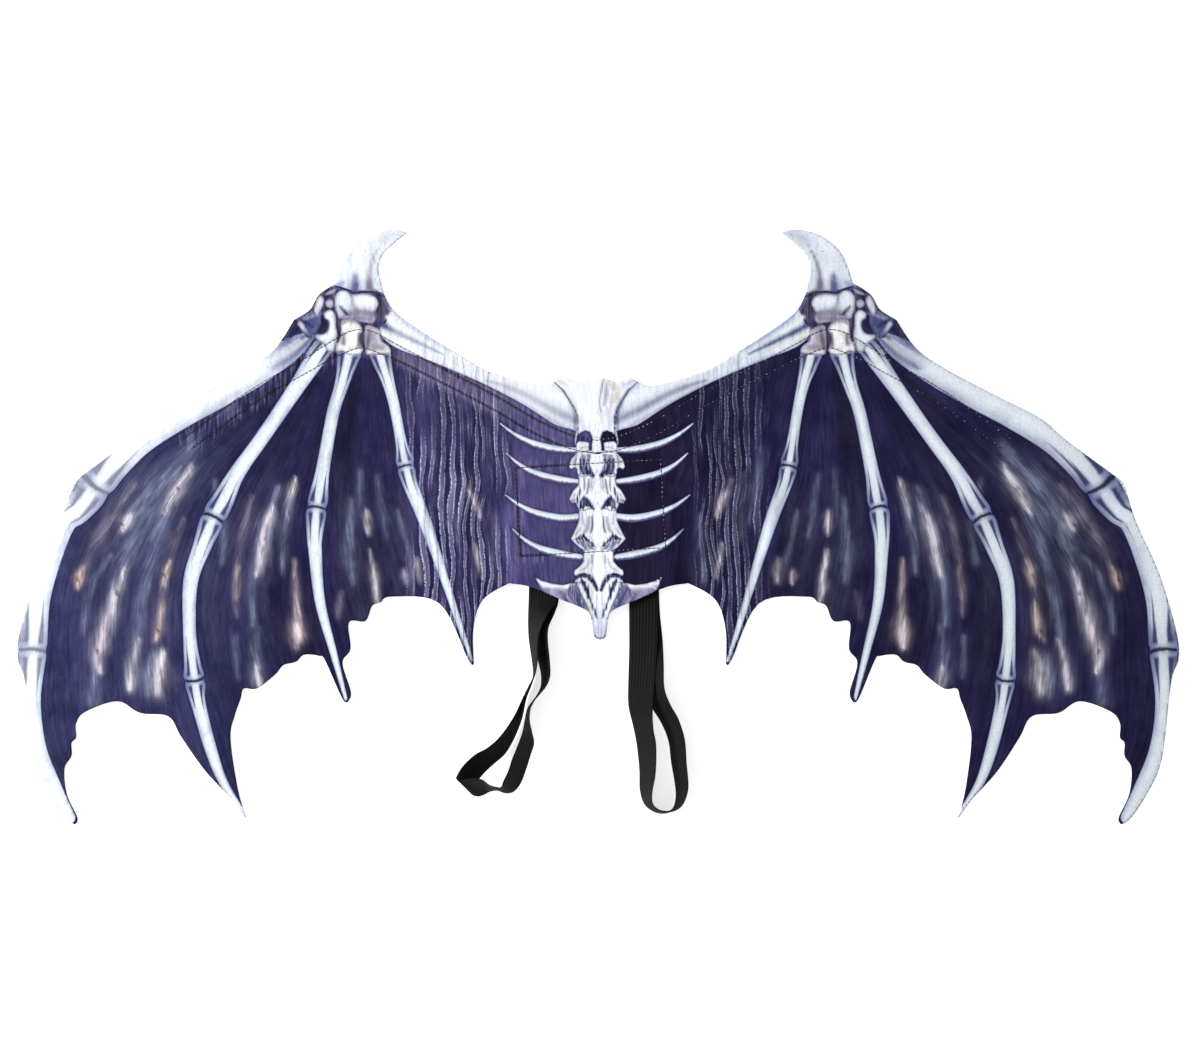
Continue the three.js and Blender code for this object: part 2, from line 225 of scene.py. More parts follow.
STRAP_LEFT = (
    (-59.4, -11, 25, 0, 3.1), (-59.4, -27, 25, 0, 3.1), (-59.5, -48, 25, 0, 2.1),
    (-59.8, -63, 24.8, 0, 1.8), (-60.2, -74, 18, 0, 1.3), (-60.2, -84, 12.5, 0, 0.5),
    (-59.4, -97, 8, 0, 0), (-56.5, -116, 4.5, 0, 0), (-55.5, -128, 0.8, 0.2, 0),
    (-58, -137, -1, 0.6, 0), (-62, -148, -2.5, 1, 0), (-65.5, -165, -6.5, 2.5, 0),
    (-72, -182, -11.5, 3, 0), (-79.5, -195, -15, 6, 0), (-89.5, -204, -16.5, 8.5, 0),
    (-99, -213, -17, 8, 0), (-106, -223, -15, 10, 0), (-108, -230, -13.5, 14, 0),
    (-103.5, -232, -13, 15.5, 0), (-98, -230.5, -8.5, 15, 0), (-94.5, -228.5, -5, 12, 0),
    (-91, -227, -2.5, 6, 0), (-86, -226.5, -1.5, 3.5, 0), (-79, -229, -4, 6, 0),
    (-72, -227.5, -9, 10, 0), (-66, -220, -11, 11, 0), (-61.5, -208, -12.5, 8.5, 0),
    (-57.5, -195, -12.5, 5, 0), (-55, -186, -11.5, 5, 0), (-57, -176, -7, 2.5, 0),
    (-59, -167, -3.5, 1, 0), (-58.5, -157, -1.8, 0.8, 0), (-55.5, -150, -0.4, 0.4, 0),
    (-51.5, -143.5, 1.5, 0.8, 0), (-49, -136.5, 5, 1, 0), (-49, -126.5, 8, 0, 0),
    (-52, -113, 10.5, 0, 0), (-54.5, -97, 11.5, 0, 0), (-56.5, -86, 14.2, 0, 0),
    (-58, -76, 20, 0, 0), (-58.8, -64, 24.9, 0, 0), (-59, -48, 25, 0, 0.3),
    (-59.2, -27, 25, 0, 1.3), (-59.2, -11, 25, 0, 1.3),
)

# Pattern of the print

# Long bones of the right half: rows of x, y and half width, and the rows that are joints.
FINGER_BONES = (
    (
        ((186, 149, 9.6), (183.5, 139, 7.6), (179, 124, 5.4), (174, 103, 4.6),
         (168.5, 72, 5), (166, 58, 7.6), (165, 52.5, 6.9), (163.8, 47, 7.6),
         (160.5, 35, 6.3), (148, 2.6, 5.4), (131.7, -47.3, 3.6), (120, -84, 2.6),
         (109.5, -115, 1.3)),
        (0, 6),
    ),
    (
        ((212.7, 149, 10.6), (216, 135, 7.6), (220, 120, 6), (227.2, 97, 5.4),
         (236.5, 48, 6), (240.5, 24, 8.6), (242, 17, 7.6), (242.5, 10.5, 8.8),
         (243.8, -6, 7), (243.5, -22, 5.8), (239.8, -64.5, 4.5), (228.7, -108.4, 3.2),
         (218.5, -148, 1.6)),
        (0, 6),
    ),
    (
        ((231, 158, 7.6), (240, 147, 8.4), (257.8, 120.5, 6.9), (287, 78.3, 6.2),
         (309.8, 46.5, 6.9), (323, 22, 9.6), (328.5, 12.5, 10.4), (330.5, 8.5, 9),
         (333, 3, 10.2), (340.5, -16, 8), (351, -47.3, 6.4), (352.2, -91, 5.6),
         (350, -118, 7.2), (349, -127, 8.8), (348.2, -132, 7.7), (347.6, -136.5, 8.6),
         (345, -153, 6.2), (334.8, -192, 5.2), (323.9, -221, 3.8), (306, -247, 1.6)),
        (0, 7, 14),
    ),
    (
        ((247, 164, 4), (255, 158, 7.4), (266, 150.5, 10.4), (294, 134.5, 13.6),
         (325, 117, 14.2), (360, 98.5, 14.6), (394, 77, 14.8), (417, 54, 14.2),
         (427, 42, 14.6), (432.5, 35.5, 13.2), (438, 27, 14), (448, 14, 11.8),
         (460, 4, 11), (474.5, -28, 12.4), (483, -62, 11.8), (485.2, -92, 11.8),
         (486, -101, 12.2), (486, -106, 11), (486.3, -111, 11.6), (487.4, -150, 8),
         (482.4, -191, 8), (468, -226, 7.4), (455, -250, 5.5)),
        (9, 17),
    ),
)

# Dark bed of the wrist, and the small bones on it: tone and outline
WRIST_BED = ((183, 201), (192, 203.4), (208, 203), (224, 207.4), (237, 203), (246, 189),
             (262, 180), (268, 160), (254, 149), (223, 150), (200, 151), (187, 153),
             (183, 160), (186, 170), (181, 178), (176, 188), (176, 200))
WRIST_BONES = (
    ("slate", ((234.8, 185.4), (243.4, 186), (251, 182), (257.4, 178.6), (254.4, 174),
               (247, 166.4), (241.8, 166.6), (236.2, 173), (236.6, 179))),
    ("pale", ((186.6, 192.1), (189.1, 197.6), (196.4, 200.6), (204.9, 200.8), (210.3, 200.6),
              (213.4, 203), (218.2, 203.9), (223, 201.2), (224.7, 196.4), (224.4, 189.7),
              (222.7, 183.7), (220.8, 179.4), (214.1, 178.2), (206.9, 177.6), (199.6, 175.8),
              (192.3, 175.4), (189.3, 178.8), (190.6, 183.7), (188.4, 187.6))),
    ("fawn", ((185.5, 169.4), (189.8, 172), (198.3, 173.6), (200.4, 164.3), (199.2, 153.4),
              (197.6, 148), (188.2, 148.2), (177.9, 149), (176.8, 152.8), (179.9, 157.1),
              (185.6, 160.7), (185.3, 166.2))),
    ("cream", ((200.8, 169.8), (203.6, 175), (208, 178.6), (214, 179.4), (219.4, 177),
               (219.8, 167.9), (220.5, 161.9), (224, 155.8), (223.6, 150.6), (218.5, 151),
               (214.8, 149), (208.8, 148), (202.7, 149), (200.6, 152.8), (203.1, 158.3),
               (203.2, 164.3))),
    ("pale", ((223.9, 181.3), (226.4, 186.1), (230.6, 186.7), (234.2, 183.7), (233.5, 179.4),
              (229.8, 176.4), (230.3, 170.4), (234.5, 166.1), (241.1, 165.9), (242.3, 163.1),
              (238, 159.5), (234.3, 157.1), (231.8, 152.2), (228.1, 150.4), (225.2, 152.2),
              (223.8, 158.3), (222.3, 164.3), (223.3, 171.6), (223.6, 176.4))),
    ("lilac", ((225.8, 194.2), (229, 196), (232.4, 194.2), (232.6, 190.3), (228.8, 188),
               (225.6, 190))),
    ("pale", ((233.8, 196.4), (237.7, 199.6), (240.8, 194), (242.9, 186.1), (240.2, 182.2),
              (236.1, 186.7), (234, 192.1))),
    ("lilac", ((222.4, 205.4), (229.1, 203.2), (233.6, 199.8), (229, 199.4), (224.6, 201.8))),
    ("pale", ((244.1, 163.7), (247.8, 169.2), (253.8, 177.4), (256.9, 174), (251.4, 166.7),
              (248.3, 162.3))),
)

# Ribs of the right half: rows of x, y and half width
RIBS = (
    ((17.5, 66, 2.4), (34, 66.8, 3.2), (54, 71.4, 3), (70, 79, 2), (83.5, 89, 0.7)),
    ((18, 39, 2.4), (34, 41, 3.2), (53, 46, 3), (67, 53.5, 1.9), (78.5, 63.5, 0.7)),
    ((17.5, 8.6, 3.2), (32, 7.5, 3.5), (53, 12, 3), (68, 19, 1.9), (79.5, 27.5, 0.7)),
    ((16, -26, 2.8), (32, -23.5, 3.5), (51.5, -18, 3), (64, -10.5, 1.8), (73.5, -1.8, 0.7)),
)

# Outlines of flat bones. Those that start at x = 0 are the right half of one shape.
ARM = ((15.6, 83), (24, 84.5), (34, 87), (41, 91), (61, 104), (81, 115), (99, 124),
       (117, 132), (136, 140), (154, 147), (172, 154), (184, 163), (186, 172), (180, 178),
       (186, 200), (150, 190), (110, 165), (70, 145), (45, 136), (38, 127), (28.2, 116.6),
       (21.4, 105.6), (18.6, 101.6), (16.2, 94))
CLAW = ((181, 199), (186, 200.4), (191.6, 202.6), (200, 203.2), (208.4, 201.8), (211, 203.4),
        (218, 206), (224, 207.6), (232, 212), (225, 250), (195, 264), (150, 264), (150, 250),
        (168, 240), (178, 228), (180, 215))
SPINE = (
    ((0, -41), (8, -41), (18, -42), (21, -47), (17.5, -56), (13, -68), (9, -80), (9, -102),
     (0, -102)),
    ((16.5, -47), (22, -48.4), (27, -52), (33, -64), (11, -78), (12.6, -69), (17, -56)),
    ((22, -47.6), (31, -50), (42, -48.3), (49.5, -45.8), (55.2, -41.5), (50.2, -53),
     (40, -62), (28, -68), (25.5, -56)),
    ((0, -14), (13, -16), (13, -23), (13.2, -29.6), (16.4, -33.8), (20.8, -37), (21.6, -40),
     (20, -42.6), (16.4, -40.4), (12.6, -39.8), (8, -41.4), (4.6, -44.8), (2.2, -49.6),
     (0, -55.4)),
    ((0, 22), (14.6, 20), (16.2, 14), (16.2, 6), (18, 1.4), (20.4, -3.6), (23.6, -10.2),
     (21, -13.4), (16.4, -18), (12, -20.4), (7.3, -19), (4.2, -18.6), (1.8, -20.8),
     (0, -22.6)),
    ((0, 52), (14.4, 50), (16.8, 45.6), (15.8, 41), (16.6, 35.8), (21, 31.2), (24.8, 23.8),
     (22.4, 20), (18.8, 20.8), (17.2, 16.4), (15.4, 13.6), (11, 13.6), (8, 15.4),
     (4.4, 15.4), (1.6, 12.4), (0, 11.8)),
    ((0, 74), (3.4, 74), (3.8, 66), (16.4, 64.4), (18.4, 62.6), (22.2, 58.6), (24.4, 51.8),
     (22.4, 49.4), (19.4, 51.2), (17.4, 49.8), (17.2, 46), (14.6, 43.4), (12, 43.2),
     (7.5, 44), (3, 42), (0, 41.5)),
    ((6, 72.4), (9, 73.4), (15, 73.8), (17.6, 72), (18, 66), (16.8, 63.8), (12, 64.2),
     (6.6, 65.6)),
    ((15.6, 86), (17.6, 83), (19, 75), (18.8, 70), (17.8, 71), (17.2, 75), (16, 80)),
    ((0, 136), (30, 136), (40, 128), (27.5, 116.8), (21, 106), (18.2, 102), (15.8, 94),
     (16, 84), (15.8, 79), (13.4, 81.2), (9.4, 82.8), (5.6, 81.6), (4.4, 78.4), (3.2, 74),
     (2.6, 68), (0, 67)),
)
# White crests down the middle of the spine, drawn over its dark ink
SPINE_CRESTS = (
    ((0, 78), (3.2, 76), (4, 71), (4.2, 64), (5.4, 59), (6.6, 54.6), (4.6, 50), (2.4, 45.6),
     (0, 41.6)),
    ((0, 50), (2.2, 43), (3.2, 36), (5.2, 31.6), (11.6, 27.4), (7.2, 24), (4, 18.4),
     (1.8, 13.8), (0, 10.8)),
    ((0, 22), (4, 12), (4.4, 4), (7.4, -4), (7, -9), (4, -13.6), (1.9, -18), (0, -22.6)),
    ((0, -14), (4.2, -23.6), (5.2, -32), (7, -38.4), (3.6, -43.6), (1.7, -49.4), (0, -55.4)),
)

# Hatched dark ink on the spine: tone, strength and outline
SPINE_SHADES = (
    ("slate", 0.75, ((5, 63), (9, 62.4), (14, 62.4), (15, 58), (10, 56), (5.6, 57.4))),
    ("navy", 1.0, ((5.6, 57.6), (9.4, 58.6), (14.8, 58.6), (16, 52), (14, 45.6), (11, 44.4),
                   (7.5, 45.2), (2.7, 43.2), (1.6, 45.8), (4.4, 50), (6.2, 54.2))),
    ("navy", 1.0, ((2, 14.2), (3.8, 18.6), (7, 23.2), (12.4, 26.8), (14.4, 22), (15.6, 16.2),
                   (12.4, 15.2), (9.6, 18.4), (6.6, 16.4), (4, 16.2))),
    ("navy", 0.95, ((14.4, 34.6), (16.2, 32.6), (17.2, 27.4), (17.6, 22.4), (16.4, 20.4),
                    (15.6, 26.4), (14, 31))),
    ("slate", 0.7, ((18.4, 24.6), (24, 23.4), (22, 20.6), (18.8, 21.4))),
    ("navy", 1.0, ((2.6, -17.6), (7.2, -10.8), (12.6, -6.4), (16.4, -7.6), (21.4, -10.8),
                   (16.6, -11.4), (11.4, -12), (7, -15.4))),
    ("slate", 0.85, ((3.6, -17.4), (7.6, -13.6), (12, -11.6), (16.4, -11.2), (20.6, -11),
                     (17.4, -14.4), (12.4, -18.8), (7.4, -18))),
    ("navy", 1.0, ((20.6, -42.8), (16.4, -40.4), (12.6, -39.8), (8, -41.4), (4.6, -44.8),
                   (2.2, -49.6), (0, -55.6), (1.9, -54.6), (5.3, -48.6), (8.7, -45),
                   (14.4, -44), (18.2, -45))),
    ("navy", 1.0, ((14.6, -43.8), (11.5, -47), (9, -52.8), (7.3, -59.4), (5.4, -66.1),
                   (3.9, -72), (2.4, -78), (4.6, -73), (8.2, -64.2), (11, -57.5), (14.2, -49.9),
                   (16.4, -45))),
    ("violet", 0.9, ((17, -47), (22, -48.6), (26, -52), (32, -64), (11, -77), (13, -69),
                     (17.4, -56))),
    ("violet", 0.7, ((26, -53), (38, -52.4), (50, -50), (46, -60), (28, -68))),
)

# Soft tones on the bones: name of the tone, strength, rows of x, y and half width
BONE_TONES = (
    ("mauve", 0.95, ((19, 92.5, 3.6), (37, 100.7, 3.3), (61, 113.6, 2.8), (82, 122, 2.2),
                     (96, 126.4, 1))),
    ("white", 0.95, ((54.6, -42.6, 0.7), (49, -47.4, 1.6), (40, -50.4, 2.4), (31, -51.6, 2.2),
                     (24, -49.6, 1.2))),
    ("lilac", 0.85, ((30, -57, 0.9), (26, -62, 1), (22, -68, 0.8))),
    ("navy", 0.85, ((33, -56, 0.6), (29, -62, 0.9), (25, -67, 0.6))),
    ("lilac", 0.8, ((41, -55, 0.8), (36, -59, 1), (33, -63, 0.8))),
    ("navy", 0.75, ((24, -53, 0.6), (20, -61, 0.9), (17.6, -68, 0.6))),
    ("white", 0.8, ((24, 108, 4), (44, 117, 5), (80, 132, 5), (120, 150, 5))),
    ("umber", 0.45, ((30, 87.5, 1.6), (60, 104.6, 1.2), (90, 120.6, 1.2))),
    ("dark", 0.95, ((132, 148.6, 0.7), (151, 157.6, 1.7), (169, 166.2, 2.3), (185, 174.4, 2.6))),
    ("mid", 0.75, ((126, 151, 0.8), (148, 164.6, 1.4), (166, 177, 1.6), (176, 188, 2.4))),
    ("white", 0.9, ((160, 166.6, 1.2), (172, 174, 1.8), (180, 180.6, 2))),
    ("cream", 0.85, ((150, 149.4, 1.6), (168, 157.4, 2.2), (184, 167, 2))),
    ("brown", 0.9, ((184.5, 243, 0.5), (191, 231, 1.1), (194.4, 218, 2), (195, 206, 3.2))),
    ("violet", 1.0, ((206.6, 216, 2.4), (207, 210, 4), (207.4, 204, 4.6))),
    ("dark", 0.5, ((207, 208, 2.2), (207.4, 203, 3))),
    ("brown", 0.8, ((194.6, 212, 2.2), (193.4, 204, 3.4), (188, 202, 2))),
    ("mid", 0.75, ((217, 210, 2.6), (222, 208, 3))),
    ("white", 0.7, ((188, 254, 5), (204, 236, 6), (200, 216, 2.4))),
    ("lilac", 0.6, ((160, 256, 1.6), (176, 250, 5), (186, 246, 3))),
    ("lilac", 0.5, ((183, 205, 2.6), (181, 197, 3), (178, 190, 2.4))),
    ("mauve", 0.9, ((191, 181.4, 4.2), (206, 182, 5), (216, 181, 3.6))),
    ("brown", 0.6, ((194, 178.4, 1.4), (207, 179.6, 1.6))),
    ("brown", 0.5, ((191, 184, 1.6), (203, 185.4, 3), (213, 184, 2))),
    ("white", 0.9, ((194.6, 194, 4.2), (203, 194.6, 4.2))),
    ("white", 0.85, ((217.4, 198.6, 3), (218.4, 193, 2.8))),
    ("umber", 0.75, ((210.4, 199.6, 0.9), (209.4, 193, 1.7), (208, 187, 2.6))),
    ("navy", 0.9, ((213.4, 182.6, 1), (217, 186, 1.8), (219.8, 189.4, 1.2))),
    ("cream", 0.8, ((179, 151.4, 1.5), (184, 151, 1.3), (189, 150.4, 1.3), (196, 150.4, 1.4))),
    ("lilac", 0.7, ((186.6, 168, 1.2), (193, 168.6, 1.6))),
    ("pale", 0.8, ((180, 154, 1.6), (185.4, 158, 2), (187.6, 165, 1.8))),
    ("brown", 0.95, ((195, 169, 1.8), (195.6, 161.4, 3), (197.4, 154, 1.4))),
    ("umber", 0.7, ((184, 155, 2), (192, 155, 2.4), (197, 155, 1.6))),
    ("umber", 0.75, ((204.6, 176, 1.5), (212, 177.4, 1.8), (218.6, 175, 1.4))),
    ("white", 0.95, ((209.4, 171, 3), (210.4, 164, 2.8), (210, 157, 2.2))),
    ("brown", 0.9, ((203.6, 166, 1.4), (204.4, 155, 1.8))),
    ("brown", 0.9, ((217, 166, 1.5), (217.6, 158, 2.2))),
    ("white", 0.9, ((204, 151, 1.2), (210, 150, 1.4), (215, 151, 1.2))),
    ("white", 0.85, ((228.4, 183, 2), (227.6, 174, 1.8), (228.6, 165, 2.2), (237, 163, 1.6))),
    ("navy", 0.95, ((235.4, 181, 1.4), (235, 175, 2.2), (238.6, 169.6, 2))),
    ("lilac", 0.7, ((239, 183, 1.2), (245.6, 181, 1.8), (252, 178.4, 1.4))),
    ("mid", 0.6, ((241, 172, 1.2), (244, 168.4, 1.6))),
    ("navy", 0.8, ((244, 172, 1), (249, 175.6, 1.6), (254, 179, 1))),
    ("navy", 0.8, ((229, 199, 1.3), (232, 197.4, 1.1))),
    ("slate", 0.95, ((246, 165, 6), (257, 158, 9), (268, 151, 10), (280, 143, 6))),
    ("dark", 0.85, ((246, 163, 3), (256, 154, 4), (266, 146, 4), (278, 137, 2))),
    ("navy", 0.8, ((257, 170, 2.4), (263, 164, 2.6), (272, 157, 1.6))),
    ("pale", 0.85, ((256, 161, 1.2), (266, 154, 2), (281, 144.6, 2.8), (296, 135, 3.2))),
    ("brown", 0.8, ((7.4, 129, 0.6), (5, 118, 0.8), (3.2, 108, 0.7), (4.4, 99, 0.5))),
    ("mauve", 0.75, ((9.4, 122, 1.2), (9, 114, 2.2), (7.4, 105, 1.4))),
    ("dark", 0.75, ((29, 119, 0.9), (22.4, 108.4, 1.5), (19, 100, 2), (17.4, 90, 1.8))),
    ("umber", 0.45, ((17, 128, 0.8), (15, 118, 1), (13, 104, 0.9))),
    ("ochre", 0.55, ((10, 124, 2.6), (19, 117, 3), (15, 107, 2.4))),
    ("mid", 0.5, ((25, 122, 2.4), (33, 126, 2))),
    ("lilac", 0.6, ((10, 101, 2), (12, 92, 2.4), (11, 86, 2))),
    ("dark", 0.5, ((17.2, 94, 1), (17.8, 89, 1.3), (18.4, 84.6, 1.2))),
    ("umber", 0.5, ((6.5, 69, 0.8), (14, 68, 0.8))),
    ("umber", 0.55, ((19, 61, 0.9), (20.6, 55, 1.2))),
    ("navy", 0.8, ((17, 62, 0.5), (18.6, 56, 0.8), (18.2, 52, 0.5))),
    ("white", 0.9, ((9.4, 62.6, 0.5), (8.4, 56, 0.7), (7, 49, 0.4))),
    ("lilac", 0.85, ((13.2, 62, 0.6), (12.6, 54, 0.8), (11, 47, 0.5))),
    ("white", 0.9, ((15.8, 61, 0.5), (16, 54, 0.6), (14.6, 47, 0.5))),
    ("white", 0.85, ((12.8, -9.4, 0.4), (10.6, -14, 0.6), (9, -18.4, 0.5))),
    ("pale", 0.8, ((17.6, -10.4, 0.4), (15.8, -14, 0.6), (13.6, -17.8, 0.6))),
    ("lilac", 0.7, ((12.4, 24, 0.4), (12.6, 19.6, 0.6))),
    ("navy", 0.9, ((7.2, 41, 0.5), (8, 34, 0.9), (9.2, 28.6, 0.5))),
    ("navy", 0.8, ((11.4, 42.6, 0.5), (11, 36, 0.8), (11.6, 31, 0.4))),
    ("mid", 0.7, ((4.4, 42, 0.9), (5.4, 34, 1.2))),
    ("umber", 0.55, ((19.4, 28, 1), (21.6, 24.4, 0.9))),
    ("navy", 0.85, ((4.8, 9.4, 0.5), (4.9, 0, 0.9), (6.2, -5, 0.5))),
    ("umber", 0.75, ((7.8, 8, 1.3), (9, -0.6, 2.2), (12, -4.6, 1.4))),
    ("mid", 0.6, ((13.6, 12, 1), (13, 3, 1.2))),
    ("umber", 0.5, ((15, -1, 0.9), (19.6, -7, 1.1))),
    ("navy", 0.7, ((5.6, -24, 0.5), (6, -31, 0.7))),
    ("umber", 0.65, ((8.4, -28, 0.9), (10.6, -34.4, 1.3), (15.6, -37.2, 0.9))),
    ("dark", 0.9, ((18, -53, 0.7), (12, -66, 1), (6.8, -79, 0.8))),
    ("mid", 0.55, ((2.4, -58, 0.7), (2.2, -72, 0.8))),
    ("lilac", 0.8, ((0, -74, 3), (0, -82, 5.6), (0, -94, 6))),
    ("mid", 0.75, ((6, -80, 1), (4.8, -90, 1.1), (4.2, -95, 1.2))),
    ("mid", 0.5, ((1.6, -78, 0.5), (1.4, -92, 0.5))),
    ("dark", 0.95, ((0, -97, 2.2), (3.4, -96.4, 2), (5.4, -93.4, 1.2))),
    ("dark", 0.7, ((24.4, -49.4, 0.5), (27, -56, 0.7), (30.6, -62, 0.8))),
    ("dark", 0.75, ((19.6, -54, 0.6), (17, -64, 0.9), (14.6, -71, 0.6))),
)

# Drawn lines: half width and points
INK_LINES = (
    (0.3, ((36, 124.6), (28, 116.4), (21.2, 105.6), (18.4, 101.6), (16, 94), (15.6, 84))),
    (0.5, ((180.6, 198), (186, 199.6), (191.6, 201.8), (200, 202.4), (208.4, 201),
           (211.4, 202.8), (218, 205.4), (224, 207))),
    (0.3, ((182.5, 233), (190, 234), (199.6, 238.4))),
    (0.3, ((163, 250.5), (172, 251.2), (181, 249.5))),
    (0.4, ((199.3, 172), (199.7, 160), (199.2, 148))),
)

# Pale streaks on the wing skin: tone, strength, rows of x, y and half width
STREAKS = (
    ("haze", 0.5, ((349, 70, 3), (364, 49, 6), (376, 38, 8), (389, 22, 9), (398, 4, 8.5),
                   (405, -18, 6.5), (409, -38, 4.5), (418, -66, 4), (424, -90, 4.5),
                   (431, -112, 3), (434, -150, 4))),
    ("haze", 0.42, ((350, 52, 4), (374, 8, 5), (382, -18, 4.6), (387, -43, 4), (393, -66, 4),
                    (396, -90, 3.6), (400, -108, 3.4), (402, -134, 4))),
    ("mist", 0.95, ((349, 53, 1), (356, 41, 2.6), (362, 31, 3), (368, 20, 2.4),
                     (373, 11, 1))),
    ("mist", 0.85, ((395, -96, 1), (399, -110, 2), (402, -124, 2.6), (403.6, -139, 2))),
    ("mist", 0.8, ((402, 10, 1.6), (405.6, 5, 3.2), (409, -3, 1.4))),
    ("mist", 0.95, ((407.6, -36, 1), (411.6, -46, 2), (418, -66, 2.8), (421.8, -79, 3.4),
                     (424.6, -90, 2.6))),
    ("rose", 0.85, ((424, -88, 2), (427.6, -99, 3.6), (431, -111, 3), (428, -125, 1.4))),
    ("ash", 0.5, ((399, 36, 2), (412.6, 16.6, 3.4), (425, -1.5, 4), (434.4, -18, 3.4),
                  (441, -34, 2.6))),
    ("amber", 0.85, ((443, -35, 1.2), (446, -44, 2.6), (448, -52, 1.4))),
    ("haze", 0.38, ((419, -26, 2), (430.6, -41, 2.6), (436, -54, 2.6), (440, -68, 2.4),
                    (443.4, -90, 2))),
    ("ash", 0.45, ((357, 6, 1.6), (364, -11, 2.4), (368, -28, 2.4), (374, -50, 2.6),
                   (376, -70, 2.4), (382, -98, 2))),
    ("amber", 0.85, ((368.6, -29, 1), (371, -37, 2.2), (373.6, -50, 1.2))),
    ("amber", 0.95, ((374.6, -64, 1), (376, -76, 1.8), (378, -88, 2.2), (381.4, -97, 1))),
    ("mist", 0.8, ((375, -108, 2), (378.4, -120, 4), (380, -130, 5), (381, -142, 3))),
    ("haze", 0.45, ((383, -110, 3), (388, -128, 4), (388, -144, 3))),
    ("mist", 0.8, ((199, 15, 0.8), (198.4, 8, 2), (198, 0, 1.8), (197, -7, 0.8))),
    ("mist", 0.8, ((196.6, -20, 0.8), (195, -30, 1.4), (193, -42, 1.8), (191.8, -54, 1.8),
                    (190, -66, 1))),
    ("mist", 0.75, ((155.4, -27, 0.8), (154.6, -36, 2), (153.6, -47, 1.2))),
    ("rose", 0.6, ((167.4, -37, 0.8), (166.6, -43, 1.8), (166, -49, 0.8))),
    ("haze", 0.32, ((172, 14, 1.6), (166, -12, 2.6), (160, -32, 2.6), (156, -46, 2))),
    ("haze", 0.3, ((190, 44, 1.6), (184, 10, 2.4), (181, -8, 2))),
    ("haze", 0.45, ((212, 24, 1.6), (213.4, -6, 3), (213, -30, 3.4), (212, -48, 1.6))),
    ("haze", 0.3, ((204, 48, 2), (205, 30, 2), (204, 10, 1.6))),
    ("ash", 0.4, ((221, -56, 1.4), (223.6, -68, 2), (224, -78, 1.4))),
    ("mist", 0.7, ((260, 42, 0.8), (262.6, 33, 2), (265.4, 21, 1.8), (268, 8, 1))),
    ("haze", 0.5, ((264, 28, 1.6), (269.4, 2, 2.6), (271.6, -20, 2.2), (272, -40, 1.2))),
    ("haze", 0.6, ((275, 34, 1.8), (284, 5, 4.4), (289, -14, 4), (293, -36, 4),
                   (297, -56, 2.4), (297, -84, 2))),
    ("mist", 0.95, ((279, 18, 1), (283.6, 6, 2.8), (287.6, -6, 2.6), (289.4, -18, 2.8),
                     (291, -30, 2.6), (294, -42, 1.2))),
    ("ash", 0.42, ((297, 26, 1.6), (304.8, 1, 2.6), (310, -26, 2.4), (312, -60, 2),
                   (312, -76, 1.4))),
    ("amber", 0.6, ((309.6, -34, 0.8), (311.4, -50, 1.6), (312, -62, 1.2))),
    ("rose", 0.55, ((261.6, -28, 1), (260.6, -50, 1.6), (260, -70, 1.8), (259.4, -84, 2.4))),
    ("rose", 0.95, ((259.4, -74, 1.4), (259.2, -84, 3), (259.8, -94, 3.4), (260.6, -103, 2))),
    ("haze", 0.5, ((293, -86, 1.6), (296, -106, 3.4), (295.6, -120, 3.6), (294, -134, 3))),
    ("mist", 0.75, ((294.6, -120, 1.4), (293.6, -130, 2.6), (292.6, -138, 2))),
    ("haze", 0.35, ((313, -94, 1.4), (312, -116, 2), (311, -130, 1.2))),
    ("haze", 0.3, ((330, 40, 2), (322, 2, 3), (324, -30, 2.4))),
    ("ash", 0.6, ((116, 41, 1.4), (113, 33, 3.4), (109.6, 26, 2.4))),
    ("rose", 0.9, ((111, 31, 0.8), (107, 24, 1.6), (104, 16, 1.5), (101.6, 8, 0.8))),
    ("mist", 0.7, ((106.4, -14, 0.8), (104, -28, 1.5), (100.6, -44, 0.9))),
    ("haze", 0.3, ((126, 46, 1.6), (124, 18, 3), (121, -12, 2))),
    ("haze", 0.28, ((88, 10, 1.6), (89, -18, 2.8), (90, -46, 2))),
    ("haze", 0.28, ((142, 66, 1.6), (136, 34, 2.6), (130, 4, 2))),
)
# Small dark-rimmed holes in the print: x, y, radius
HOLES = ((361, 32.5, 1.3), (373.6, -42, 1.2), (379, -90, 1.5), (414.6, -57, 1.7),
         (408.6, 2.4, 1.4), (447.6, -45, 1.3), (430.4, -107, 1.4), (309, -63, 1.1),
         (287.4, -11, 1.1))

# Width of each gap between neighbouring bones, from the spine outward
GAP_WIDTHS = (165, 70, 85, 110, 40)
# Middle of the wrist, where the fingers meet
WRIST_AT = (205, 165)

# Points from one row of a stroke or a long bone to the next, the distance that stands for
# nothing near, and the furthest place from a joint in half widths
STROKE_STEPS, LIMB_STEPS = 4, 6
FAR, RUN_LIMIT = 30.0, 9.0

# Dry brush on the spine: cells, noise from and to, where it ends in metres from the middle,
# strength and tone
SPINE_BRUSHES = (
    ((620, 95, 1), (0.48, 0.72), (0.018, 0.03), 0.3, "slate"),
    ((760, 80, 9), (0.54, 0.7), (0.024, 0.034), 0.4, "pale"),
)


def ink(code):
    """The linear colour of a hex code."""
    parts = [int(code[i:i + 2], 16) / 255 for i in (1, 3, 5)]
    return tuple(p / 12.92 if p <= 0.04045 else ((p + 0.055) / 1.055) ** 2.4 for p in parts)


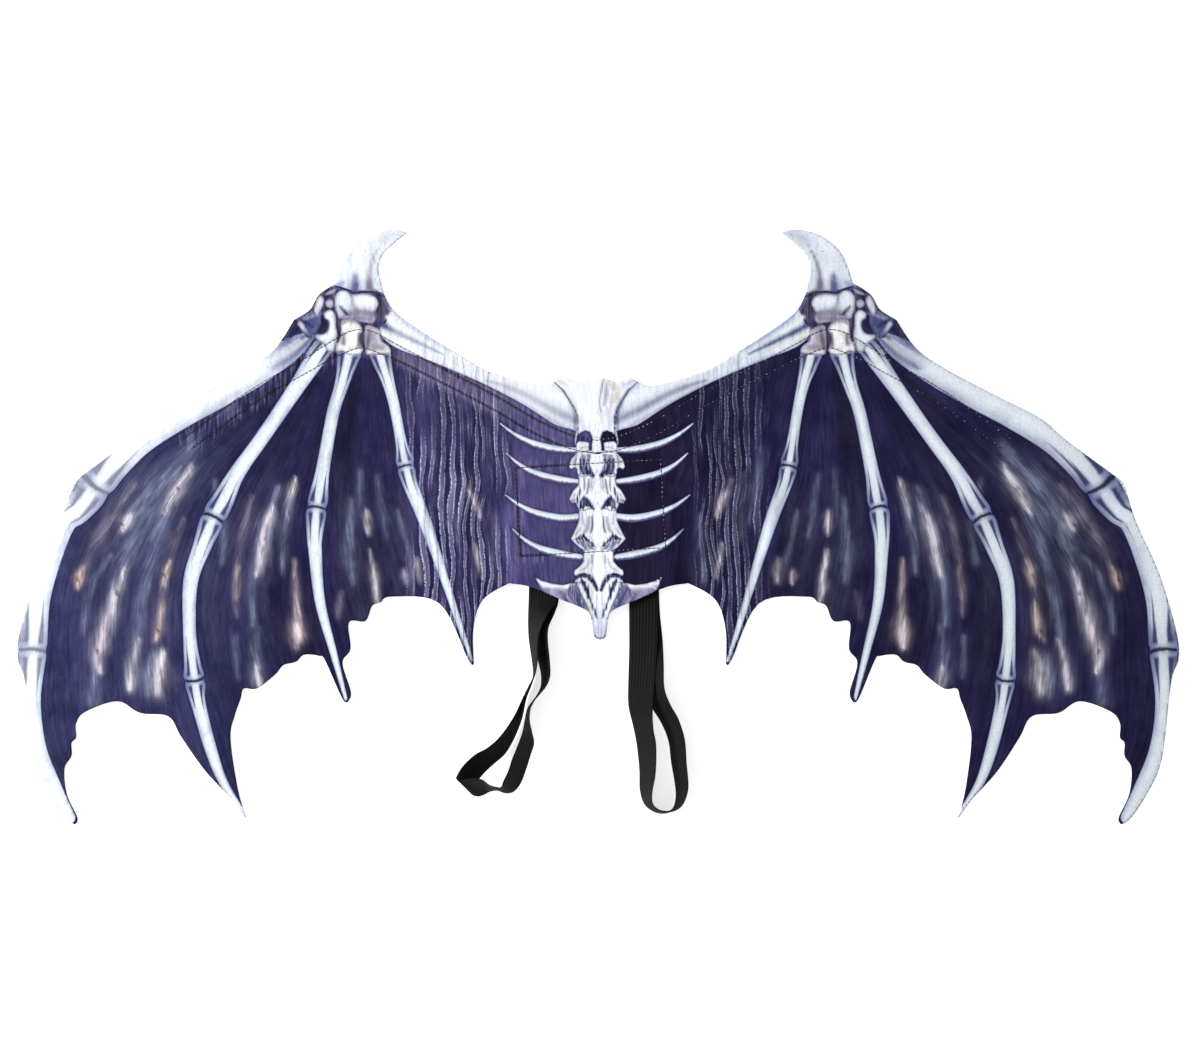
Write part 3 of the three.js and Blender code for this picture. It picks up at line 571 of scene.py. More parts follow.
# Inks of the print by name
TONES = {
    "white": ink("#f6f8fb"),
    "pale": ink("#dbe4ed"),
    "cream": ink("#f2f0ec"),
    "lilac": ink("#b7b8d0"),
    "mid": ink("#8188b4"),
    "mauve": ink("#807b97"),
    "umber": ink("#867c8e"),
    "fawn": ink("#b9b0bc"),
    "brown": ink("#5f5567"),
    "ochre": ink("#b5a68c"),
    "slate": ink("#474e78"),
    "dark": ink("#282d5c"),
    "navy": ink("#161a40"),
    "bed": ink("#2f2a45"),
    "violet": ink("#544f7e"),
    # Painted shade: dark ink where shade falls, beside the spine on the right and in the stitching
    # grooves
    "painted_shade": ink("#1b1526"),
    "haze": ink("#878fab"),
    "mist": ink("#ddd5dc"),
    "ash": ink("#8c8494"),
    "rose": ink("#dccdd3"),
    "amber": ink("#c6b2a8"),
}

# Shape helpers


def smooth(low, high, value):
    """0 at low, 1 at high, and a smooth rise between."""
    t = np.clip((np.asarray(value, float) - low) / (high - low), 0, 1)
    return t * t * (3 - 2 * t)


def swell(rise, fall, value):
    """A smooth rise from 0 to 1 over one range, and back to 0 over another."""
    return smooth(*rise, value) * (1 - smooth(*fall, value))


def blend(a, b, share):
    """Colour rows from a to b, in steps that look even."""
    share = np.asarray(share)[..., None]
    return (np.sqrt(np.asarray(a)) * (1 - share) + np.sqrt(np.asarray(b)) * share) ** 2


def grain(x, y, seed):
    """Smooth seeded noise from -1 to 1 with cells one unit wide."""
    table = np.random.default_rng(seed).uniform(-1, 1, (256, 256))
    i, j = np.floor(x).astype(int), np.floor(y).astype(int)
    s, t = smooth(0, 1, x - i), smooth(0, 1, y - j)
    rows = [
        table[i % 256, (j + k) % 256] * (1 - s) + table[(i + 1) % 256, (j + k) % 256] * s
        for k in (0, 1)
    ]
    return rows[0] * (1 - t) + rows[1] * t


def spline(knots, steps):
    """Points on a Catmull-Rom curve through rows of any width."""
    k = np.asarray(knots, float)
    p = np.vstack([k[:1], k, k[-1:]])
    t = np.linspace(0, 1, steps, endpoint=False)[:, None]
    runs = []
    for a, b, c, d in zip(p, p[1:], p[2:], p[3:]):
        into, out = (c - a) / 2, (d - b) / 2
        cube = 2 * b - 2 * c + into + out
        square = -3 * b + 3 * c - 2 * into - out
        runs.append(cube * t**3 + square * t**2 + into * t + b)
    return np.vstack([*runs, k[-1:]])


def closed_spline(knots, steps):
    """Points on a closed Catmull-Rom curve."""
    k = np.asarray(knots, float)
    turn = spline(np.vstack([k[-2:], k, k[:2]]), steps)
    return turn[2 * steps:(len(k) + 2) * steps]


def near_line(line, x, y):
    """Distance to a polyline, length along it, signed distance and knot number."""
    best = np.full(x.shape, np.inf)
    along, across, knot = np.zeros((3, *x.shape))
    run = 0.0
    for i, (a, b) in enumerate(zip(line, line[1:])):
        dx, dy = b[0] - a[0], b[1] - a[1]
        length = math.hypot(dx, dy)
        if length < 1e-9:
            continue
        t = np.clip(((x - a[0]) * dx + (y - a[1]) * dy) / length**2, 0, 1)
        ox, oy = x - a[0] - t * dx, y - a[1] - t * dy
        away = np.hypot(ox, oy)
        take = away < best
        best[take] = away[take]
        along[take] = run + t[take] * length
        across[take] = (away * np.sign(dx * oy - dy * ox))[take]
        knot[take] = i + t[take]
        run += length
    return best, along, across, knot


def depth_inside(outline, x, y):
    """Depth inside a closed outline, negative outside."""
    ring = np.vstack([outline, outline[:1]])
    away = near_line(ring, x, y)[0]
    odd = np.zeros(x.shape, bool)
    for (ax, ay), (bx, by) in zip(ring, ring[1:]):
        if ay != by:
            odd ^= ((ay > y) != (by > y)) & (x < ax + (y - ay) * (bx - ax) / (by - ay))
    return np.where(odd, away, -away)


def both_halves(half):
    """A closed outline from its right half."""
    half = np.asarray(half, float)
    return np.vstack([half, half[::-1] * (-1, 1)])


def lengths_along(line):
    """Length along a polyline at each of its points."""
    return np.concatenate([[0], np.cumsum(np.linalg.norm(np.diff(line, axis=0), axis=1))])


def slip_at(x):
    """Sideways slip of the lying cloth for each unit of height."""
    slip = LAY_LEFT + (LAY_RIGHT - LAY_LEFT) * smooth(*LAY_TURN, x)
    return slip * (1 - smooth(*LAY_END, np.abs(x)))


def lay(points):
    """Pattern points as they lie, slipped sideways with height."""
    x, y = np.asarray(points, float).T
    return np.stack([x - slip_at(x) * y, y], 1)


def unlay(x, y):
    """Pattern x of a point on the lying cloth."""
    at = x
    for _ in range(3):
        at = x + slip_at(at) * y
    return at


def panel_outline():
    """The cut edge all round, as it lies."""
    right = np.vstack([spline(np.stack(e, 1), EDGE_STEPS)[:-1] for e in CUT_EDGES.values()])
    tail = [(0, CUT_EDGES["hem under the first finger"][1][-1])]
    left = right[:0:-1] * (-1, 1)
    return lay(np.vstack([right, tail, left]))[::-1]


def casing_line(offset=0.0):
    """The casing's middle line from left to right, or a line beside it."""
    right = spline(np.stack(CASING, 1), CASING_STEPS)
    line = lay(np.vstack([right[:0:-1] * (-1, 1), right]))
    along = np.gradient(line, axis=0)
    along /= np.hypot(*along.T)[:, None]
    from_wrist = (np.abs(line[:, :1]) - WRIST_AT[0]) / CASING_SLIM_REACH
    offset = offset * (CASING_SLIM + (1 - CASING_SLIM) * np.exp(-from_wrist**2))
    return line + offset * np.stack([-along[:, 1], along[:, 0]], 1)


def patch_place(u, v):
    """Lying place of a point given along the sides of the sewn patch, from its middle."""
    c, s = math.cos(PATCH_TURN), math.sin(PATCH_TURN)
    return u * c - v * s + PATCH_AT[0], u * s + v * c + PATCH_AT[1]


def patch_frame(x, y):
    """Coordinates along the sides of the sewn patch, from its middle."""
    dx, dy = x - PATCH_AT[0], y - PATCH_AT[1]
    c, s = math.cos(PATCH_TURN), math.sin(PATCH_TURN)
    return dx * c + dy * s, dy * c - dx * s


def stitch_box():
    """Corners of the rectangle of stitching, as they lie."""
    w, h = STITCH_BOX[0] / 2, STITCH_BOX[1] / 2
    corners = np.array([(-w, h), (w, h), (w, -h), (-w, -h), (-w, h)])
    return np.stack(patch_place(*corners.T), 1)


def seams():
    """Lines of stitching by piece, as they lie."""
    box = stitch_box()
    return {
        "casing_stitching": [casing_line(STITCH_ROW), casing_line(-STITCH_ROW)],
        "patch_stitching": list(zip(box, box[1:])),
    }


def stitch_count(line, thread):
    """Length of a line of stitching, and how many stitches fill it."""
    run = lengths_along(line)[-1]
    return run, round(run / (thread.pitch / MM))


def seam_place(x, y, thread):
    """Distance from the nearest stitching, stitches along it, and how strongly its painted glints
    show.
    """
    place = np.tile((FAR, 0.0, 0.0), (len(x), 1))
    place[:, 2] = STITCH_GLINT_LEFT + (STITCH_GLINT_RIGHT - STITCH_GLINT_LEFT) * smooth(*STITCH_GLINT_TURN, x)
    for lines in seams().values():
        for line in lines:
            run, count = stitch_count(line, thread)
            away, along, _, _ = near_line(line, x, y)
            take = away < place[:, 0]
            place[take, 0], place[take, 1] = away[take], along[take] / run * count
    return place


def strap_hold(rows, x, y):
    """Lift of the cloth over a strap. Between the straps it stays up."""
    middle = rows[0][0] + STRAP_W / 2
    side = np.maximum(np.abs(x - middle) - STRAP_W / 2, 0)
    reach = np.where((x - middle) * middle < 0, INNER_REACH, OUTER_REACH)
    above = np.maximum(y - rows[0][1], 0)
    stack = PATCH_T + 2 * STRAP_T + 3 * GAP + HEM_LIFT * (1 - smooth(*HEM_EASE, y))
    return stack * (1 - smooth(STRAP_SHOULDER, reach, side)) * (1 - smooth(*STRAP_EASE, above))


def drape(x, y):
    """Height of the cloth's back above the floor."""
    to_tape = near_line(casing_line(), x, y)[0] - TAPE_W / 2
    u, v = patch_frame(x, y)
    to_patch = np.hypot(
        np.maximum(np.abs(u) - PATCH_SIZE[0] / 2, 0),
        np.maximum(np.abs(v) - PATCH_SIZE[1] / 2, 0),
    )
    held = np.maximum.reduce([
        (TAPE_T + GAP) * (1 - smooth(*TAPE_EASE, to_tape)),
        (PATCH_T + GAP) * (1 - smooth(*PATCH_EASE, to_patch)),
        strap_hold(STRAP_LEFT, x, y),
        strap_hold(STRAP_RIGHT, x, y),
    ])
    fold = np.zeros(x.shape)
    for fx, fy, drift, across, along, height in FOLDS:
        s, t = (x - fx - drift * (y - fy)) / across, (y - fy) / along
        fold += height * np.exp(-s * s - t * t)
    return held + np.maximum(fold - FOLD_FLOOR, 0) * smooth(*FOLD_EASE, to_patch)


def flow(u, v):
    """Place across the gap between neighbouring bones, and distance down it."""
    away, gap = [u], np.zeros(u.shape, int)
    for rows, _ in FINGER_BONES:
        near, _, across, _ = near_line(spline(rows, 2)[:, :2], u, v)
        away.append(near)
        gap += across > 0
    away = np.array([*away, away[-1]])
    before, after = (np.take_along_axis(away, g[None], 0)[0] for g in (gap, gap + 1))
    starts = np.concatenate([[0], np.cumsum(GAP_WIDTHS)])
    share = before / np.maximum(before + after, 0.1)
    down = np.where(gap > 0, np.hypot(u - WRIST_AT[0], v - WRIST_AT[1]), WRIST_AT[1] - v)
    return starts[gap] + share * np.array(GAP_WIDTHS)[gap], down


def crinkle(x, y, height):
    """Fine creases of the lying cloth, and the pucker along its stitching."""
    at = unlay(x, y)
    u = np.abs(at)
    across, along = flow(u, y)
    across = across + np.where(at < 0, CREASE_SHIFT, 0)
    warp = sum(h * grain(along / a, across / b, seed) for h, a, b, seed in CREASE_WARPS)
    ridge = 1 - np.abs(grain(across / CREASE_CELL[0] + warp, along / CREASE_CELL[1], 11))
    gather = swell(GATHER_START, GATHER_END, u) * (1 - smooth(*GATHER_TOP, y - 0.3 * u))
    crumple = 1 - np.abs(grain(at / 19 + y / 60, y / 27 - at / 80, 12))
    crumple += 0.6 * (1 - np.abs(grain(at / 9 - y / 30, y / 10, 13)))
    out = height * (2.6 * gather + 0.4 * smooth(150, 260, u)) * ridge**2.5
    out += height * np.where(at < 0, 0.5, 0.25) * 0.4 * crumple**3 * smooth(60, 140, u)
    rows = [*seams()["casing_stitching"], stitch_box()]
    for seed, row in enumerate(rows, 20):
        away, run, _, _ = near_line(row, x, y)
        waves = grain(run / PUCKER_CELL[0], away / PUCKER_CELL[1], seed)
        out -= 0.75 * height * np.exp(-(away / GROOVE_W) ** 2)
        out += 0.7 * height * np.exp(-away / PUCKER_REACH) * waves
    return out


def pleat_turn(x, y):
    """Count of pleats across the gathered cloth. Whole numbers lie on their ridges."""
    turn = np.zeros(x.shape)
    for side, ridges in enumerate(PLEATS):
        ridges = np.array(ridges, float)
        at = np.flatnonzero((x > ridges[0] + PLEAT_INSET) & (x < ridges[-1] - PLEAT_INSET))
        number, down = np.arange(len(ridges)) + PLEAT_SIDE * side, y[at, None]
        sway = sum(h * grain(number * t, down / cell, s) for h, t, cell, s in PLEAT_SWAYS)
        lines = np.sort(ridges + sway, 1)
        before = np.clip((lines < x[at, None]).sum(1) - 1, 0, len(ridges) - 2)
        rows = np.arange(len(at))
        low, high = lines[rows, before], lines[rows, before + 1]
        share = np.clip((x[at] - low) / np.maximum(high - low, 0.5), 0, 1)
        turn[at] = number[before] + share
    return turn


def cloth_top(x, y, cloth):
    """Height of the printed face, in millimetres."""
    lift = cloth.thickness / MM + PRINT_LIFT
    return drape(x, y) + lift + crinkle(x, y, cloth.crinkle / MM)


# Print


class Print:
    """Ink at each point of the pattern: colours of cloth, streaks and bones, depth inside
    the nearest bone, gap to the nearest drawn line, and place on a long bone."""

    def __init__(self, u, v, cloth):
        self.u, self.v = u, v
        self.across, self.along = flow(u, v)
        count = len(u)
        self.cloth = np.tile(np.array(cloth.ground), (count, 1))
        self.streak = np.tile(TONES["haze"], (count, 1))
        self.streaked = np.zeros(count)
        self.bone = np.tile(np.array(cloth.bone), (count, 1))
        self.depth = np.full(count, -FAR)
        self.line = np.full(count, FAR)
        self.limb_place = np.tile((0.0, RUN_LIMIT, 0.0), (count, 1))
        self.limb_share = np.zeros(count)

    def near(self, points, margin):
        """Numbers of the points in a box round others."""
        low, high = np.min(points, 0) - margin, np.max(points, 0) + margin
        u, v = self.u, self.v
        return np.flatnonzero((u > low[0]) & (u < high[0]) & (v > low[1]) & (v < high[1]))

    def brush(self, at, across, along, seed):
        """Uneven brush marks with long cells."""
        return grain(self.u[at] / across, self.v[at] / along, seed)

    def stroke(self, rows, reach):
        """Points near a stroke along rows of x, y and half width, and the square of their
        distance from its middle in half widths."""
        path = spline(rows, STROKE_STEPS)
        at = self.near(path[:, :2], reach * path[:, 2].max())
        away, _, _, knot = near_line(path, self.u[at], self.v[at])
        width = np.interp(knot, np.arange(len(path)), path[:, 2])
        return at, (away / width) ** 2

    def cover(self, at, depth, colour, place=None):
        """Lays a bone over those drawn before it."""
        over = (depth > self.depth[at]) | (depth > -0.2)
        self.depth[at] = np.maximum(self.depth[at], depth)
        here = at[over]
        self.bone[here] = colour[over]
        self.limb_share[here] = 0.0 if place is None else 1.0
        if place is not None:
            self.limb_place[here] = place[over]

    def limb(self, rows, joints=(), underside=0.0, to_edge=False):
        """A long bone along rows of x, y and half width. Its joints are numbers of rows.
        One drawn to the edge fills the cloth beside it."""
        path = spline(rows, LIMB_STEPS)
        at = self.near(path[:, :2], path[:, 2].max() + 14)
        away, along, across, knot = near_line(path, self.u[at], self.v[at])
        width = np.interp(knot, np.arange(len(path)), path[:, 2])
        depth = width - away
        arc = lengths_along(path[:, :2])
        run = np.full(len(at), np.inf)
        for number, row in enumerate(joints):
            knuckle = row * LIMB_STEPS
            here = (along - arc[knuckle]) / path[knuckle, 2] + (0 if row else 0.5)
            here *= (-1) ** number
            run = np.where(np.abs(here) < np.abs(run), here, run)
        side = np.clip(across / np.maximum(width, 0.3), -1.4, 1.4)
        if to_edge:
            beside = (knot > 2 * LIMB_STEPS) & (knot < len(path) - 1.01) & (across > 0)
            depth = np.where(beside, np.maximum(depth, 8), depth)
            side = np.minimum(side, 0.72) - 0.6 * smooth(0, 3, across - width)
            run = run * (1 + 6 * smooth(0, 4, across - width))
        run = np.clip(run, -RUN_LIMIT, RUN_LIMIT)
        place = np.stack([side, run, np.full(len(at), underside)], 1)
        self.cover(at, depth, np.tile(TONES["pale"], (len(at), 1)), place)

    def plate(self, outline, tone="cream", shade="mid", bulge=0.3, reach=3.2, edge=0.7,
              brushed=0.3, steps=3):
        """A flat bone inside an outline, shaded toward its edge. One step keeps corners."""
        outline = np.asarray(outline, float)
        if outline[0, 0] == 0:
            outline = both_halves(outline)
        outline = closed_spline(outline, steps)
        at = self.near(outline, 8)
        depth = depth_inside(outline, self.u[at], self.v[at])
        brush = self.brush(at, 1.2, 11, 37)
        colour = blend(TONES[tone], TONES[shade], bulge * (1 - smooth(0.4, reach, depth)))
        colour = blend(colour, TONES["umber"], brushed * np.maximum(brush, 0))
        colour = blend(colour, TONES["navy"], edge * (1 - smooth(-0.1, 0.8, depth + 0.3 * brush)))
        self.cover(at, depth, colour)

    def tone(self, name, strength, rows):
        """A soft tone over bones along rows of x, y and half width."""
        at, far = self.stroke(rows, 3)
        share = strength * np.exp(-far) * (0.8 + 0.2 * self.brush(at, 1.3, 7, 41))
        self.bone[at] = blend(self.bone[at], TONES[name], share)

    def hatch(self, name, strength, outline):
        """Brushed ink over bones inside an outline."""
        at = self.near(outline, 3)
        depth = depth_inside(np.asarray(outline, float), self.u[at], self.v[at])
        brush = self.brush(at, 1.0, 7, 43)
        share = strength * smooth(-0.7, 0.6, depth + 1.3 * brush) * (0.92 + 0.08 * brush)
        self.bone[at] = blend(self.bone[at], TONES[name], share)

    def draw(self, half_width, points):
        """A thin drawn line."""
        path = spline(points, STROKE_STEPS)
        at = self.near(path, 8)
        gap = near_line(path, self.u[at], self.v[at])[0] - half_width
        self.line[at] = np.minimum(self.line[at], gap)

    def skin(self, cloth):
        """The wing skin: its uneven ground, pale streaks and small holes."""
        cloud = 0.5 + 0.5 * grain(self.across / 12, self.along / 90, 1)
        self.cloth = blend(self.cloth, cloth.streak, 0.7 * cloud)
        low = swell((90, 170), (270, 340), self.along)
        veil = np.maximum(grain(self.across / 6, self.along / 80, 3), 0)
        self.streaked = 0.08 * low * veil * smooth(120, 180, self.u)
        for name, strength, rows in STREAKS:
            at, far = self.stroke(rows, 5)
            share = strength * (0.68 * np.exp(-far) + 0.27 * np.exp(-far / 5))
            whole = 1 - (1 - self.streaked[at]) * (1 - share)
            self.streak[at] = blend(self.streak[at], TONES[name], share / np.maximum(whole, 1e-6))
            self.streaked[at] = whole
        for x, y, radius in HOLES:
            at = self.near([(x, y)], 5 * radius)
            away = np.hypot(self.u[at] - x, (self.v[at] - y) * 0.8)
            self.streaked[at] *= 1 - 0.85 * np.exp(-(away / radius) ** 4)

    def paint_sheen_and_shade(self, left, right, to_casing):
        """Painted sheen of the skin on the left: violet near the spine, slate far out and mauve
        along the casing; and painted shade near the spine on the right.
        """
        u = self.u
        sheen = 0.8 - 0.44 * smooth(66, 100, u) - 0.36 * smooth(140, 200, u)
        # Painted sheen: a lighter band along the casing on the left wing.
        casing_sheen = (1 - smooth(7, 12, to_casing)) * swell((60, 90), (165, 182), u)
        for name, share in (
            ("violet", left * smooth(0, 8, u) * sheen),
            ("slate", 0.32 * left * smooth(240, 380, u)),
            ("mauve", 0.45 * left * casing_sheen),
            ("painted_shade", 0.5 * right * (1 - smooth(50, 110, u))),
        ):
            self.cloth = blend(self.cloth, TONES[name], share)

    def glare_on_bones(self):
        """How strongly painted glare whitens the bones of the left wing: trunk, arm, claw, outer
        finger.
        """
        u, v = self.u, self.v
        outer = smooth(-40, -10, v - 150 + 0.72 * (u - 260)) * smooth(262, 282, u)
        return np.maximum.reduce([
            0.8 * smooth(82, 96, v) * (1 - smooth(9, 14, u - 0.5 * np.maximum(v - 95, 0))),
            0.35 * smooth(84, 110, v) * (1 - smooth(170, 182, u)),
            0.22 * smooth(207, 222, v),
            0.18 * np.maximum(outer, smooth(395, 425, u)),
        ])

    def gathers(self, left):
        """How sharply the cloth is pleated on each side of the spine."""
        u = self.u
        share = np.where(
            left,
            swell((68, 88), (146, 172), u),
            0.6 * swell((78, 94), (128, 152), u),
        )
        return share * (1 - 0.4 * smooth(40, 110, self.v))

    def skeleton(self):
        """All the bones, in the order they are drawn."""
        self.plate(ARM, "pale", edge=0.3)
        self.plate(CLAW, "pale", edge=0.3)
        self.plate(WRIST_BED, "bed", brushed=0.6)
        *inner, outer = FINGER_BONES
        for rows, joints in inner:
            self.limb(rows, joints)
        self.limb(*outer, to_edge=True)
        for tone, outline in WRIST_BONES:
            self.plate(outline, tone, "umber", bulge=0.6, reach=3.0, edge=0.75)
        for rows in RIBS:
            self.limb(rows, underside=1.0)
        for outline in SPINE:
            self.plate(outline, "white", "lilac", bulge=0.4, reach=2.4, edge=0.8,
                       brushed=0.18, steps=1)
        for name, strength, outline in SPINE_SHADES:
            self.hatch(name, strength, outline)
        for outline in SPINE_CRESTS:
            self.plate(outline, "white", reach=1.0, edge=0.12, brushed=0.1, steps=1)
        for name, strength, rows in BONE_TONES:
            self.tone(name, strength, rows)
        for half_width, points in INK_LINES:
            self.draw(half_width, points)


def print_layers(x, y, wings):
    """What the printed finish reads at each lying point, by kind of value."""
    pattern_x = unlay(x, y)
    left, right = pattern_x < 0, pattern_x > 0
    art = Print(np.abs(pattern_x), y, wings.cloth)
    art.skin(wings.cloth)
    # Painted sheen on the left skin and painted shade on the right.
    art.paint_sheen_and_shade(left, right, near_line(casing_line(), x, y)[0])
    art.skeleton()
    place = np.stack([art.across + np.where(left, FIBRE_SHIFT, 0), art.along, 0 * x], 1)
    numbers = {
        "bone_depth": art.depth,
        "line_gap": art.line,
        "streaked": art.streaked,
        "limb_share": art.limb_share,
        "crease": art.gathers(left),
        # Painted glare on the bones of the left wing
        "painted_glare": left * art.glare_on_bones(),
        "pleat_turn": pleat_turn(x, y),
        "crumple": np.where(left, 1.6, 0.6) * smooth(40, 120, art.u),
    }
    colours = {"cloth_ink": art.cloth, "streak_ink": art.streak, "bone_ink": art.bone}
    vectors = {
        "flow": place * MM,
        "limb_place": art.limb_place,
        "seam": seam_place(x, y, wings.thread),
    }
    opaque = {name: np.insert(rows, 3, 1.0, axis=1) for name, rows in colours.items()}
    return (
        ("FLOAT", "value", numbers),
        ("FLOAT_COLOR", "color", opaque),
        ("FLOAT_VECTOR", "vector", vectors),
    )


# Finishes


def times(colour, factor):
    """A colour made darker or lighter."""
    return [factor * part for part in colour]


class Ink:
    """A socket of a finish. Arithmetic on it adds Math nodes."""

    def __init__(self, finish, socket):
        self.finish, self.socket = finish, socket

    def __add__(self, other):
        return self.finish.math("ADD", self, other)

    def __sub__(self, other):
        return self.finish.math("SUBTRACT", self, other)

    def __rsub__(self, other):
        return self.finish.math("SUBTRACT", other, self)

    def __mul__(self, other):
        return self.finish.math("MULTIPLY", self, other)

    def __truediv__(self, other):
        return self.finish.math("DIVIDE", self, other)

    def __rtruediv__(self, other):
        return self.finish.math("DIVIDE", other, self)

    def __abs__(self):
        return self.finish.math("ABSOLUTE", self)

    __radd__ = __add__
    __rmul__ = __mul__

    def wave(self, pitch):
        """A sine with one turn in each pitch."""
        return self.finish.math("SINE", self * (2 * math.pi / pitch))

    def between(self, low, high):
        """0 below low, 1 above high, and a smooth rise between."""
        return self.finish.node(
            "ShaderNodeMapRange",
            {"interpolation_type": "SMOOTHSTEP"},
            {"Value": self, "From Min": low, "From Max": high},
        )


class Finish:
    """A material made of nodes."""

    def __init__(self, name):
        self.material = bpy.data.materials.new(name)
        self.material.use_nodes = True
        self.nodes = self.material.node_tree.nodes
        self.links = self.material.node_tree.links
        self.nodes.clear()

    def node(self, kind, settings=None, sockets=None, out=0):
        """A new node with its settings and sockets, known by one of its outputs."""
        made = self.nodes.new(kind)
        for key, value in (settings or {}).items():
            setattr(made, key, value)
        for key, value in (sockets or {}).items():
            if isinstance(value, Ink):
                self.links.new(value.socket, made.inputs[key])
            elif hasattr(value, "__len__") and made.inputs[key].type == "RGBA":
                made.inputs[key].default_value = (*value[:3], 1.0)
            else:
                made.inputs[key].default_value = value
        return Ink(self, made.outputs[out]) if len(made.outputs) else None

    def math(self, operation, a, b=0.0):
        return self.node("ShaderNodeMath", {"operation": operation}, {0: a, 1: b})

    def mix(self, share, a, b, mode="MIX"):
        settings = {"data_type": "RGBA", "blend_type": mode}
        return self.node("ShaderNodeMix", settings, {0: share, 6: a, 7: b}, 2)

    def tinted(self, colour, share, low, high):
        """A colour multiplied by a tint from low to high."""
        return self.mix(1.0, colour, self.mix(share, low, high), "MULTIPLY")

    def read(self, name, out="Fac"):
        """An attribute of the mesh."""
        return self.node("ShaderNodeAttribute", {"attribute_name": name}, out=out)

    def split(self, vector, axes=(0, 1, 2)):
        """Coordinates of a vector."""
        return [self.node("ShaderNodeSeparateXYZ", {}, {0: vector}, axis) for axis in axes]

    def noise(self, vector, scale, detail=2.0, roughness=0.5):
        """Noise with one scale, or one for each axis."""
        scales = scale if isinstance(scale, tuple) else (scale,) * 3
        where = self.node("ShaderNodeVectorMath", {"operation": "MULTIPLY"}, {0: vector, 1: scales})
        sockets = {"Vector": where, "Scale": 1.0, "Detail": detail, "Roughness": roughness}
        return self.node("ShaderNodeTexNoise", {}, sockets)

    def place(self, out="Object"):
        return self.node("ShaderNodeTexCoord", out=out)

    def bump(self, height, distance):
        return self.node("ShaderNodeBump", {}, {"Height": height, "Distance": distance})

    def surface(self, **sockets):
        """The material, finished with these sockets of its shader."""
        named = {key.replace("_", " "): value for key, value in sockets.items()}
        shader = self.node("ShaderNodeBsdfPrincipled", {}, named)
        self.node("ShaderNodeOutputMaterial", {}, {"Surface": shader})
        return self.material


def limb_ink(f, cloth, base, speck):
    """Ink of a long bone from its place: side from -1 to 1, lengths from a joint in half
    widths, and how dark its underside is."""
    side, run, under = f.split(f.read("limb_place", "Vector"))
    out = abs(side)
    reach = abs(run)
    wobble = speck - 0.5
    colour = f.mix((out + wobble * 0.5).between(0.4, 1.05) * 0.5, base, TONES["mid"])
    tint = f.noise(f.place(), 38).between(0.4, 0.7)
    colour = f.mix(tint * out * 0.5, colour, TONES["mauve"])
    colour = f.mix((1 - abs(side + 0.08).between(0.0, 0.6)) * 0.5, colour, TONES["white"])
    below = (side * -1 + wobble * 0.9).between(0.05, 0.75) * under
    colour = f.mix(below * 0.9, colour, TONES["dark"])
    near_joint = 1 - reach.between(0.2, 3.0)
    colour = f.mix(near_joint * (out.between(0.1, 0.7) * 0.6 + 0.2), colour, TONES["mid"])
    slot = 0.3 - reach * 0.062 + wobble * 0.3 - abs(out - 0.55)
    flute = slot.between(-0.04, 0.16) * reach.between(0.3, 0.75)
    colour = f.mix(flute * 0.92, colour, TONES["dark"])
    shoulder = out.between(0.66, 0.9) * (1 - reach.between(1.2, 3.4))
    colour = f.mix(shoulder * 0.5, colour, TONES["slate"])
    bend = abs(run + side * side * 0.22 - 0.08 + wobble * 0.3)
    crack = 1 - (bend + wobble * 0.1).between(0.06, 0.24)
    halo = 1 - bend.between(0.1, 0.6)
    colour = f.mix(halo * 0.4, colour, TONES["slate"])
    return f.mix(crack * 0.92, colour, cloth.outline)


def skin_ink(f, cloth, here, depth, fibre):
    """Uneven ground of the wing skin with its pale streaks, darker close to the bones."""
    flow_at = f.read("flow", "Vector")
    mottle = f.noise(here, 30, 4.0, 0.6).between(0.35, 0.65)
    brushed = f.noise(flow_at, (600, 40, 1), 3.0, 0.6).between(0.25, 0.75)
    blotch = f.noise(flow_at, (150, 45, 1)).between(0.35, 0.65)
    skin = f.read("cloth_ink", "Color")
    skin = f.tinted(skin, fibre.between(0.3, 0.7), (0.72, 0.72, 0.76), (1.3, 1.3, 1.26))
    skin = f.tinted(skin, mottle, (0.78, 0.78, 0.84), (1.24, 1.18, 1.14))
    marked = f.read("streaked") * (0.5 + brushed * 0.9) * (0.55 + blotch * 0.8)
    skin = f.mix(marked, skin, f.read("streak_ink", "Color"))
    return f.mix((1 + depth / 2.4).between(0, 1.2) * 0.5, skin, cloth.outline)


def bone_ink(f, cloth, here, depth, fibre, speck):
    """Flat and long bones, with dry brush on the spine, painted glare on the left and a blue rim.
    """
    flat, limb = f.read("bone_ink", "Color"), f.read("limb_share")
    bone = f.mix(limb, flat, limb_ink(f, cloth, flat, fibre))
    out = abs(f.split(here)[0])
    for cells, marks, end, strength, tone in SPINE_BRUSHES:
        brush = f.noise(here, cells, 3.0, 0.6).between(*marks)
        brush = brush * (1 - out.between(*end)) * (1 - limb)
        bone = f.mix(brush * strength, bone, TONES[tone])
    bone = f.tinted(bone, speck.between(0.3, 0.7), (0.88, 0.89, 0.92), (1.05, 1.05, 1.04))
    # Painted glare: bones of the left wing whitened as if by strong light, their rim too.
    painted_glare = f.read("painted_glare")
    bone = f.mix(painted_glare, bone, TONES["white"])
    rim = (1 - (depth - (speck - 0.5) * 1.6).between(0.0, 1.1)) * (1 - painted_glare)
    return f.mix(rim * (limb * 0.2 + 0.3), bone, cloth.rim)


